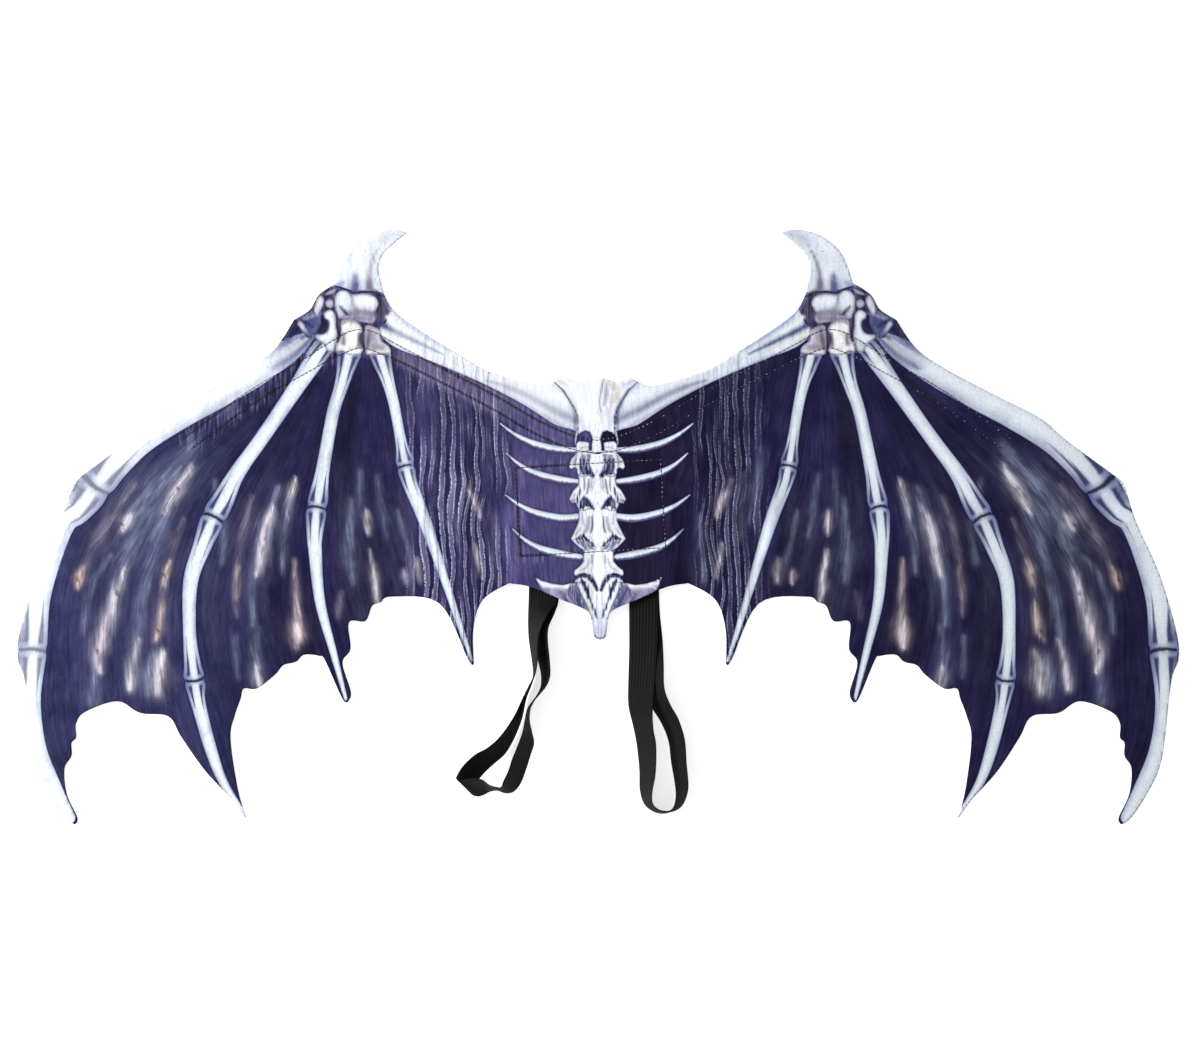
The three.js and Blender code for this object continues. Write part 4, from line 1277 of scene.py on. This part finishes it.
def pleat_ink(f, cloth, here, colour, edge, speck):
    """A colour with painted shade in the valleys of pleats and painted highlights on their ridges,
    and their relief.
    """
    crease, down = f.read("crease"), f.split(here)[1]
    turns = f.read("pleat_turn") + (speck - 0.5) * 0.12 + 0.5
    strand = f.math("FLOOR", turns)
    beside = abs(turns - strand - 0.5)
    kept = f.node("ShaderNodeCombineXYZ", {}, {0: strand * 5.3, 1: down * 14})
    patchy = f.noise(kept, 1).between(0.36, 0.58)
    pleat = patchy * crease
    beyond = beside - f.noise(kept, (1, 2.2, 1)) * 0.44 + 0.02
    # Painted shade in the pleat valleys, weaker over bones.
    valley_shade = beyond.between(0.03, 0.1) * pleat
    colour = f.mix(valley_shade * (0.62 - edge * 0.45), colour, cloth.outline)
    # Painted highlight: a lit band beside each ridge.
    band = (1 - beyond.between(-0.06, 0.02)) * pleat
    colour = f.mix(band * 0.15, colour, cloth.crease, "LIGHTEN")
    # Painted highlight: thin bright lines along the ridges.
    thread = (1 - abs(beyond).between(0.02, 0.085)) * pleat * speck.between(0.36, 0.56)
    colour = f.mix(thread * 0.9, colour, cloth.crease, "LIGHTEN")
    ridge = (1 - beside.between(0.06, 0.3)) * (patchy * 0.8 + 0.2) * crease
    return colour, ridge * 1.1 + thread * 0.4


def seam_ink(f, cloth, here, colour, edge):
    """A colour with painted highlights on the rucks, painted shade in the groove and pale painted
    glints along stitching.
    """
    off, count, shown = f.split(f.read("seam", "Vector"))
    # Painted light and shade by the stitching, strongest on the left where the glints are weak.
    seam_light_share = (STITCH_GLINT_RIGHT - shown) * (1 - edge)
    ruck_highlight = f.noise(here, (430, 45, 1), 3.0).between(0.44, 0.7) * (1 - off.between(1.5, 10))
    colour = f.mix(ruck_highlight * seam_light_share * 0.26, colour, cloth.crease, "LIGHTEN")
    # Painted shade in the groove of the stitching.
    groove_shade = 1 - off.between(0.6, 1.9)
    colour = f.mix(groove_shade * seam_light_share * 0.8, colour, TONES["painted_shade"])
    # Painted highlight: pale glints between the stitches.
    stitch_glint = abs(f.math("FRACT", count) - 0.5).between(0.36, 0.42)
    stitch_glint = stitch_glint * (1 - off.between(0.3, 0.65)) * shown
    return f.mix(stitch_glint, colour, cloth.crease, "LIGHTEN")


def printed_finish(cloth):
    """Printed satin: crisp bones over streaked skin, fine fibre, and painted shade and highlights
    along creases and stitching.
    """
    f = Finish("printed_cloth")
    here, depth = f.place(), f.read("bone_depth")
    fibre = f.noise(f.read("flow", "Vector"), (420, 36, 1), 4.0, 0.6)
    speck = f.noise(here, 620, 3.0, 0.6)
    edge = (depth + (speck - 0.5) * 0.5).between(-0.25, 0.35)
    skin = skin_ink(f, cloth, here, depth, fibre)
    colour = f.mix(edge, skin, bone_ink(f, cloth, here, depth, fibre, speck))
    drawn = 1 - (f.read("line_gap") + (speck - 0.5) * 0.9).between(-0.15, 0.5)
    colour = f.mix(drawn * speck.between(0.25, 0.5) * 0.85, colour, cloth.outline)
    colour, pleats = pleat_ink(f, cloth, here, colour, edge, speck)
    colour = seam_ink(f, cloth, here, colour, edge)
    weave = f.noise(here, 2600, 1.0)
    crumple = f.noise(here, 150, 4.0, 0.6) * f.read("crumple")
    return f.surface(
        Base_Color=colour,
        Roughness=speck * 0.16 + 0.42,
        Normal=f.bump(pleats + weave * 0.1 + speck * 0.15 + crumple, 0.0008),
        Specular_IOR_Level=0.0,
    )


def woven_finish(name, colour, pitch, depth):
    """Plain weave of dull dark thread, for the reverse, the tape and the patch."""
    f = Finish(name)
    here = f.place()
    warp, weft = f.split(here, (0, 1))
    lift = warp.wave(pitch) * weft.wave(pitch)
    worn = f.noise(here, 60, 3.0)
    shade = f.mix(worn.between(0.3, 0.7), times(colour, 0.7), times(colour, 1.35))
    # Painted highlight: raised threads of the weave made lighter.
    shade = f.mix(lift.between(-0.6, 0.8) * 0.35, shade, times(colour, 2.0))
    return f.surface(
        Base_Color=shade,
        Roughness=worn * 0.15 + 0.75,
        Normal=f.bump(lift, depth),
        Specular_IOR_Level=0.25,
    )


def elastic_finish(bands):
    """Knitted elastic: fine lengthwise ribs crossed by short stitches."""
    f = Finish("elastic")
    run, side = f.split(f.place("UV"), (0, 1))
    rib = f.math("COSINE", side * (4 * math.pi * bands.ribs))
    purl = f.math("SINE", run * (2 * math.pi / PURL_PITCH) + rib * 1.4)
    lint = f.noise(f.place(), 420, 3.0)
    # Painted light and shade: lighter rib tops, darker grooves between them.
    dark, light = times(bands.elastic, 0.55), times(bands.elastic, 1.35)
    shade = f.mix(rib.between(-0.9, 0.9), dark, light)
    shade = f.mix(lint.between(0.55, 0.8) * 0.35, shade, times(bands.elastic, 3.2))
    return f.surface(
        Base_Color=shade,
        Roughness=lint * 0.2 + 0.62,
        Normal=f.bump(rib * 0.6 + purl * 0.4, 0.00012),
        Specular_IOR_Level=0.15,
    )


def thread_finish(thread):
    """Twisted sewing thread."""
    f = Finish("sewing_thread")
    x, y = f.split(f.place(), (0, 1))
    ply = (x + y).wave(TWIST_PITCH)
    # Painted light and shade along the twist of the ply.
    dark, light = times(thread.colour, 0.6), times(thread.colour, 1.7)
    return f.surface(
        Base_Color=f.mix(ply.between(-0.8, 0.8), dark, light),
        Roughness=ply * 0.08 + 0.55,
        Normal=f.bump(ply, 0.00008),
    )


def floor_finish(stage):
    """Pale floor that gives a little light of its own."""
    f = Finish("pale_floor")
    mottle = f.noise(f.place(), 3)
    return f.surface(
        Base_Color=f.mix(mottle, times(stage.floor, 0.985), stage.floor),
        Roughness=mottle * 0.1 + 0.8,
        Emission_Color=(1.0, 1.0, 1.0),
        Emission_Strength=stage.glow,
        Specular_IOR_Level=0.1,
    )


# Meshes


def add_object(name, bm, finishes):
    """A linked object of a mesh and its finishes."""
    mesh = bpy.data.meshes.new(name)
    bm.to_mesh(mesh)
    bm.free()
    for finish in finishes:
        mesh.materials.append(finish)
    made = bpy.data.objects.new(name, mesh)
    bpy.context.scene.collection.objects.link(made)
    return made


def piece(name, bm, finishes, node=None):
    """A finished piece at the origin, riding on the body and standing for its node."""
    made = add_object(name, bm, finishes)
    made.data.shade_smooth()
    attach(made, BODY)
    if node:
        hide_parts(node)
    return made


def cut_at(bm, faces, axis, places):
    """Cuts flat faces at each place along an axis, halving the work at every step."""
    if not len(places) or not faces:
        return faces
    middle = len(places) // 2
    at, along = [0, 0, 0], [0, 0, 0]
    at[axis], along[axis] = places[middle], 1
    edges = {e for f in faces for e in f.edges}
    verts = {v for f in faces for v in f.verts}
    made = bmesh.ops.bisect_plane(
        bm, geom=[*verts, *edges, *faces], dist=1e-4, plane_co=at, plane_no=along
    )
    faces = [g for g in made["geom"] if isinstance(g, bmesh.types.BMFace)]
    low, high = [], []
    for f in faces:
        side = low if f.calc_center_median()[axis] < places[middle] else high
        side.append(f)
    return (
        cut_at(bm, low, axis, places[:middle]) + cut_at(bm, high, axis, places[middle + 1:])
    )


def cut_panel(fine, coarse):
    """The panel in millimetres between z = 0 and 1, finely cut on top."""
    bm = bmesh.new()
    back = bm.faces.new([bm.verts.new((x, y, 0)) for x, y in panel_outline()])
    made = bmesh.ops.extrude_face_region(bm, geom=[back])["geom"]
    raised = [g for g in made if isinstance(g, bmesh.types.BMVert)]
    bmesh.ops.translate(bm, verts=raised, vec=(0, 0, 1))
    bmesh.ops.recalc_face_normals(bm, faces=bm.faces)
    for level, cell in ((1, fine), (0, coarse)):
        faces = [f for f in bm.faces if all(v.co.z == level for v in f.verts)]
        for axis, half in enumerate(CUT_REACH):
            faces = cut_at(bm, faces, axis, np.arange(-half, half, cell))
        for f in faces:
            f.material_index = 1 - level
    for (left, right), (low, high), cuts in FINE_AREAS:
        edges = set()
        for f in bm.faces:
            x, y, _ = f.calc_center_median()
            on_top = all(v.co.z > 0.5 for v in f.verts)
            if on_top and left < abs(x) < right and low < y < high:
                edges.update(f.edges)
        bmesh.ops.subdivide_edges(bm, edges=list(edges), cuts=cuts, use_grid_fill=True)
    bmesh.ops.triangulate(bm, faces=[f for f in bm.faces if len(f.verts) > 4])
    return bm


def mapped_grid(columns, rows, shape):
    """A grid whose points are moved to shape(s, t), with s and t from 0 to 1."""
    bm = bmesh.new()
    bm.loops.layers.uv.new("weave")
    bmesh.ops.create_grid(
        bm, x_segments=columns, y_segments=rows, size=0.5, calc_uvs=True
    )
    flat = np.array([v.co for v in bm.verts])
    for vert, to in zip(bm.verts, shape(flat[:, 0] + 0.5, flat[:, 1] + 0.5)):
        vert.co = to
    return bm


def along_line(line, s):
    """Points and headings at shares s of a polyline's length."""
    run = lengths_along(line)
    ahead = np.gradient(line, run, axis=0)
    at, heading = (
        np.stack([np.interp(s * run[-1], run, c) for c in rows.T], 1) for rows in (line, ahead)
    )
    return at, heading / np.linalg.norm(heading, axis=1)[:, None]


def band(rows, ribs, rib_height):
    """A strap as a closed ribbed band along its rows."""
    rows = np.asarray(rows, float)
    lean = rows[:, 2:4]
    rise = np.sqrt(np.maximum(STRAP_W**2 - (lean**2).sum(1), 0))
    foot = spline(np.column_stack([rows[:, :2], rows[:, 4] + STRAP_T / 2]), STROKE_STEPS)
    head = foot + spline(np.column_stack([lean, rise]), STROKE_STEPS)
    foot[:, 2] = np.maximum(foot[:, 2], STRAP_T / 2)
    ahead = np.gradient(foot, axis=0) + np.gradient(head, axis=0)
    out = np.cross(ahead, head - foot)
    out /= np.linalg.norm(out, axis=1)[:, None]
    knots = np.arange(len(foot))

    def shape(s, t):
        at = s * knots[-1]
        low, high, face = (
            np.stack([np.interp(at, knots, c) for c in line.T], 1) for line in (foot, head, out)
        )
        front = t < 0.5
        across = np.where(front, 2 * t, 2 - 2 * t)
        from_edge = 0.5 - np.abs(across - 0.5)
        over = np.clip(1 - from_edge / STRAP_ROUND, 0, None)
        round_off = np.sqrt(np.clip(1 - over**2, 0, 1))
        rib = rib_height / MM * np.cos(2 * math.pi * ribs * across)
        lift = (STRAP_T / 2 - STRAP_TRIM + rib) * round_off * np.where(front, 1, -1)
        place = low + (high - low) * across[:, None] + face * lift[:, None]
        place[:, 2] = np.maximum(place[:, 2], LOWEST_STRAP)
        return place * MM

    bm = mapped_grid(len(foot) - 1, 8 * ribs, shape)
    bmesh.ops.remove_doubles(bm, verts=bm.verts, dist=1e-6)
    ends = [e for e in bm.edges if e.is_boundary]
    bmesh.ops.holes_fill(bm, edges=ends, sides=0)
    bmesh.ops.recalc_face_normals(bm, faces=bm.faces)
    uv = bm.loops.layers.uv["weave"]
    length = lengths_along((foot + head) / 2)[-1] * MM
    for face in bm.faces:
        for loop in face.loops:
            loop[uv].uv.x *= length
    return bm, length


def slab(bm, thickness):
    """Gives a grid its thickness, downward."""
    bmesh.ops.recalc_face_normals(bm, faces=bm.faces)
    if sum(f.normal.z for f in bm.faces) < 0:
        bmesh.ops.reverse_faces(bm, faces=bm.faces)
    bmesh.ops.solidify(bm, geom=bm.faces[:], thickness=thickness)
    bmesh.ops.recalc_face_normals(bm, faces=bm.faces)
    return bm


def stitches(bm, line, thread, cloth):
    """Stitches laid end to end along a line on the printed face."""
    run, count = stitch_count(line, thread)
    at, heading = along_line(line, (np.arange(count) + 0.5) / count)
    half = STITCH_FILL / 2 * run / count
    thick = thread.thickness / MM / 2
    ends = [at - heading * half, at, at + heading * half]
    heights = [cloth_top(p[:, 0], p[:, 1], cloth) for p in ends]
    for i in range(count):
        nose, tail = (np.append(ends[k][i], heights[k][i]) for k in (2, 0))
        middle = np.append(at[i], max(heights[1][i], (heights[0][i] + heights[2][i]) / 2))
        x = (nose - tail) / np.linalg.norm(nose - tail)
        y = np.cross((0, 0, 1), x)
        y /= np.linalg.norm(y)
        z = np.cross(x, y)
        turn = np.eye(4)
        turn[:3, :3] = np.column_stack([x * half * STITCH_OVERLAP, y * thick, z * thick]) * MM
        turn[:3, 3] = (middle + z * thick * STITCH_SEAT) * MM
        bmesh.ops.create_uvsphere(
            bm, u_segments=6, v_segments=5, radius=1.0, matrix=Matrix(turn)
        )


# Settings


class WingsCloth(PropertyGroup):
    cell: FloatProperty(
        name="Cell", description="Size of one cell of the printed face",
        default=0.0024, min=0.0015, max=0.01, unit="LENGTH", precision=5)
    thickness: FloatProperty(
        name="Thickness", description="Thickness of the cloth",
        default=0.0008, min=0.0003, max=0.002, unit="LENGTH", precision=5)
    crinkle: FloatProperty(
        name="Crinkle", description="Height of the fine creases",
        default=0.0007, min=0.0, max=0.003, unit="LENGTH", precision=5)
    ground: FloatVectorProperty(
        name="Ground", description="Darkest ink of the wing skin",
        subtype="COLOR", size=3, default=ink("#1f1d34"), min=0, max=1)
    streak: FloatVectorProperty(
        name="Streak", description="Lighter ink in streaks down the wing skin",
        subtype="COLOR", size=3, default=ink("#2d2b54"), min=0, max=1)
    bone: FloatVectorProperty(
        name="Bone", description="Pale ink of the bones",
        subtype="COLOR", size=3, default=ink("#dbe4ed"), min=0, max=1)
    rim: FloatVectorProperty(
        name="Rim", description="Blue ink just inside the edge of a bone",
        subtype="COLOR", size=3, default=ink("#5b6298"), min=0, max=1)
    outline: FloatVectorProperty(
        name="Outline", description="Dark ink of drawn lines",
        subtype="COLOR", size=3, default=ink("#15163a"), min=0, max=1)
    # Painted highlight: light ink that stands for light caught on pleat ridges, rucks and beside
    # stitches
    crease: FloatVectorProperty(
        name="Crease", description="Worn ink along sharp creases",
        subtype="COLOR", size=3, default=ink("#c6c4ec"), min=0, max=1)
    back: FloatVectorProperty(
        name="Reverse", description="Unprinted reverse of the cloth, tape and patch",
        subtype="COLOR", size=3, default=ink("#17161d"), min=0, max=1)


class WingsBands(PropertyGroup):
    ribs: IntProperty(
        name="Ribs", description="Lengthwise ribs across one strap", default=9, min=3, max=20)
    rib_height: FloatProperty(
        name="Rib height", description="Height of one rib",
        default=0.00014, min=0.0, max=0.0005, unit="LENGTH", precision=5)
    elastic: FloatVectorProperty(
        name="Elastic", description="Colour of the elastic",
        subtype="COLOR", size=3, default=ink("#0b0b0d"), min=0, max=1)


class WingsThread(PropertyGroup):
    pitch: FloatProperty(
        name="Stitch", description="Length of one stitch",
        default=0.004, min=0.001, max=0.01, unit="LENGTH", precision=5)
    thickness: FloatProperty(
        name="Thickness", description="Thickness of the thread",
        default=0.0008, min=0.0002, max=0.002, unit="LENGTH", precision=5)
    colour: FloatVectorProperty(
        name="Colour", description="Colour of the thread",
        subtype="COLOR", size=3, default=ink("#0d0d10"), min=0, max=1)


class WingsStage(PropertyGroup):
    floor: FloatVectorProperty(
        name="Floor", description="Colour of the floor",
        subtype="COLOR", size=3, default=(0.93, 0.93, 0.93), min=0, max=1)
    glow: FloatProperty(
        name="Floor glow", description="Light that the floor gives of its own",
        default=0.65, min=0.0, max=2.0)
    key_power: FloatProperty(
        name="Key light", description="Power of the soft light near the left wing",
        default=13.0, min=0.0, max=500.0, unit="POWER")
    window_power: FloatProperty(
        name="Window light", description="Power of the broad light far to the left",
        default=118.0, min=0.0, max=2000.0, unit="POWER")
    sky: FloatProperty(
        name="Sky", description="Strength of the even light from all round",
        default=0.52, min=0.0, max=5.0)
    frame_width: FloatProperty(
        name="Frame width", description="Width of floor across the picture",
        default=1.0327, min=0.1, max=5.0, unit="LENGTH")
    camera_height: FloatProperty(
        name="Camera height", description="Height of the camera above the floor",
        default=5.0, min=0.5, max=20.0, unit="LENGTH")


class WingsSettings(PropertyGroup):
    cloth: PointerProperty(type=WingsCloth, name="Cloth", description="Printed cloth")
    bands: PointerProperty(type=WingsBands, name="Bands", description="Shoulder straps")
    thread: PointerProperty(type=WingsThread, name="Thread", description="Stitching")
    stage: PointerProperty(type=WingsStage, name="Stage", description="Floor and lights")


# Operators


class WINGS_OT_stage(Operator):
    """Makes the floor, the soft lights and the camera that looks straight down"""

    bl_idname = "wings.stage"
    bl_label = "Stage"

    def execute(self, context):
        stage = context.scene.skeleton_wings.stage
        bm = bmesh.new()
        bmesh.ops.create_grid(bm, x_segments=4, y_segments=4, size=FLOOR_HALF)
        bmesh.ops.translate(bm, verts=bm.verts, vec=(0, 0, -FLOOR_DROP))
        floor = add_object("floor", bm, [floor_finish(stage)])

        world = bpy.data.worlds.new("even_light")
        world.use_nodes = True
        sky = world.node_tree.nodes["Background"]
        sky.inputs["Color"].default_value = SKY_TINT
        sky.inputs["Strength"].default_value = stage.sky
        context.scene.world = world

        powers = {"window": stage.window_power, "key": stage.key_power}
        for name, size, at in LAMPS:
            light = bpy.data.lights.new(name, "AREA")
            light.shape, light.size, light.energy = "DISK", size, powers[name]
            lamp = bpy.data.objects.new(name, light)
            aim = Vector(at).to_track_quat("Z", "Y").to_matrix().to_4x4()
            lamp.matrix_world = Matrix.Translation(at) @ aim
            context.scene.collection.objects.link(lamp)

        lens = bpy.data.cameras.new("camera")
        lens.sensor_fit, lens.sensor_width = "HORIZONTAL", SENSOR_W
        lens.lens = lens.sensor_width * stage.camera_height / stage.frame_width
        camera = bpy.data.objects.new("camera", lens)
        camera.location = (*CAMERA_AT, stage.camera_height)
        context.scene.collection.objects.link(camera)
        context.scene.camera = camera
        context.scene.view_settings.view_transform = "Standard"
        return {"FINISHED"}


class WINGS_OT_panel(Operator):
    """Cuts the wing panel, drapes it and prints its face"""

    bl_idname = "wings.panel"
    bl_label = "Wing panel"

    def execute(self, context):
        wings = context.scene.skeleton_wings
        cloth = wings.cloth
        finishes = [
            printed_finish(cloth),
            woven_finish("panel_reverse", cloth.back, *REVERSE_WEAVE),
        ]
        bm = cut_panel(cloth.cell / MM, BACK_CELL)
        panel = piece("wing_panel_cloth", bm, finishes, "wing_panel")
        mesh = panel.data
        co = np.empty(3 * len(mesh.vertices))
        mesh.vertices.foreach_get("co", co)
        x, y, level = co.reshape(-1, 3).T
        on_top = level > 0.5
        z = np.where(on_top, cloth_top(x, y, cloth), drape(x, y) + BACK_LIFT)
        z = np.maximum(z, np.where(on_top, LOWEST_TOP, LOWEST_BACK))
        mesh.vertices.foreach_set("co", (np.stack([x, y, z], 1) * MM).ravel())
        for kind, field, layers in print_layers(x, y, wings):
            for name, values in layers.items():
                layer = mesh.attributes.new(name, kind, "POINT")
                layer.data.foreach_set(field, values.ravel())
        mesh.update()
        return {"FINISHED"}


class WINGS_OT_backing(Operator):
    """Makes the casing tape and the strap patch behind the panel"""

    bl_idname = "wings.backing"
    bl_label = "Tape and patch"

    def execute(self, context):
        cloth = context.scene.skeleton_wings.cloth
        line = casing_line()

        def tape_shape(s, t):
            at, heading = along_line(line, s)
            side = np.stack([-heading[:, 1], heading[:, 0]], 1)
            x, y = (at + side * ((t - 0.5) * TAPE_W)[:, None]).T
            return np.stack([x, y, drape(x, y) - GAP], 1) * MM

        def patch_shape(s, t):
            x, y = patch_place((s - 0.5) * PATCH_SIZE[0], (t - 0.5) * PATCH_SIZE[1])
            return np.stack([x, y, np.full(x.shape, PATCH_T)], 1) * MM

        tape = piece(
            "casing_tape_cloth",
            slab(mapped_grid(220, 6, tape_shape), (TAPE_T - LAYER_TRIM) * MM),
            [woven_finish("tape_weave", cloth.back, *TAPE_WEAVE)],
            "casing_tape",
        )
        patch = piece(
            "strap_patch_cloth",
            slab(mapped_grid(40, 26, patch_shape), (PATCH_T - LAYER_TRIM) * MM),
            [woven_finish("patch_weave", cloth.back, *PATCH_WEAVE)],
            "strap_patch",
        )
        return {"FINISHED"}


class WINGS_OT_straps(Operator):
    """Makes the two shoulder loops of ribbed elastic"""

    bl_idname = "wings.straps"
    bl_label = "Shoulder straps"

    def execute(self, context):
        bands = context.scene.skeleton_wings.bands
        finish = elastic_finish(bands)
        for side, rows in (("left", STRAP_LEFT), ("right", STRAP_RIGHT)):
            bm, length = band(rows, bands.ribs, bands.rib_height)
            strap = piece(f"strap_{side}_elastic", bm, [finish], f"strap_{side}")
        return {"FINISHED"}


class WINGS_OT_stitching(Operator):
    """Sews the casing and the patch through the printed face"""

    bl_idname = "wings.stitching"
    bl_label = "Stitching"

    def execute(self, context):
        wings = context.scene.skeleton_wings
        finish = thread_finish(wings.thread)
        for name, lines in seams().items():
            bm = bmesh.new()
            for line in lines:
                stitches(bm, np.asarray(line), wings.thread, wings.cloth)
            piece(name, bm, [finish])
        return {"FINISHED"}


class WINGS_PT_sidebar(Panel):
    """Lists the steps that make the wings"""

    bl_label = "Skeleton wings"
    bl_idname = "WINGS_PT_sidebar"
    bl_space_type = "VIEW_3D"
    bl_region_type = "UI"
    bl_category = "Wings"

    def draw(self, context):
        wings = context.scene.skeleton_wings
        for group in (wings.cloth, wings.bands, wings.thread, wings.stage):
            box = self.layout.box()
            for name in group.bl_rna.properties.keys():
                if name not in ("rna_type", "name"):
                    box.prop(group, name)
        for step in STEPS:
            self.layout.operator(step.bl_idname)


STEPS = (WINGS_OT_stage, WINGS_OT_panel, WINGS_OT_backing, WINGS_OT_straps,
         WINGS_OT_stitching)
CLASSES = (WingsCloth, WingsBands, WingsThread, WingsStage, WingsSettings, *STEPS,
           WINGS_PT_sidebar)


def register():
    for cls in CLASSES:
        bpy.utils.register_class(cls)
    bpy.types.Scene.skeleton_wings = PointerProperty(type=WingsSettings)


def unregister():
    del bpy.types.Scene.skeleton_wings
    for cls in reversed(CLASSES):
        bpy.utils.unregister_class(cls)


def main():
    register()
    bpy.ops.wings.stage()
    bpy.ops.wings.panel()
    bpy.ops.wings.backing()
    bpy.ops.wings.straps()
    bpy.ops.wings.stitching()


if __name__ == "__main__":
    main()
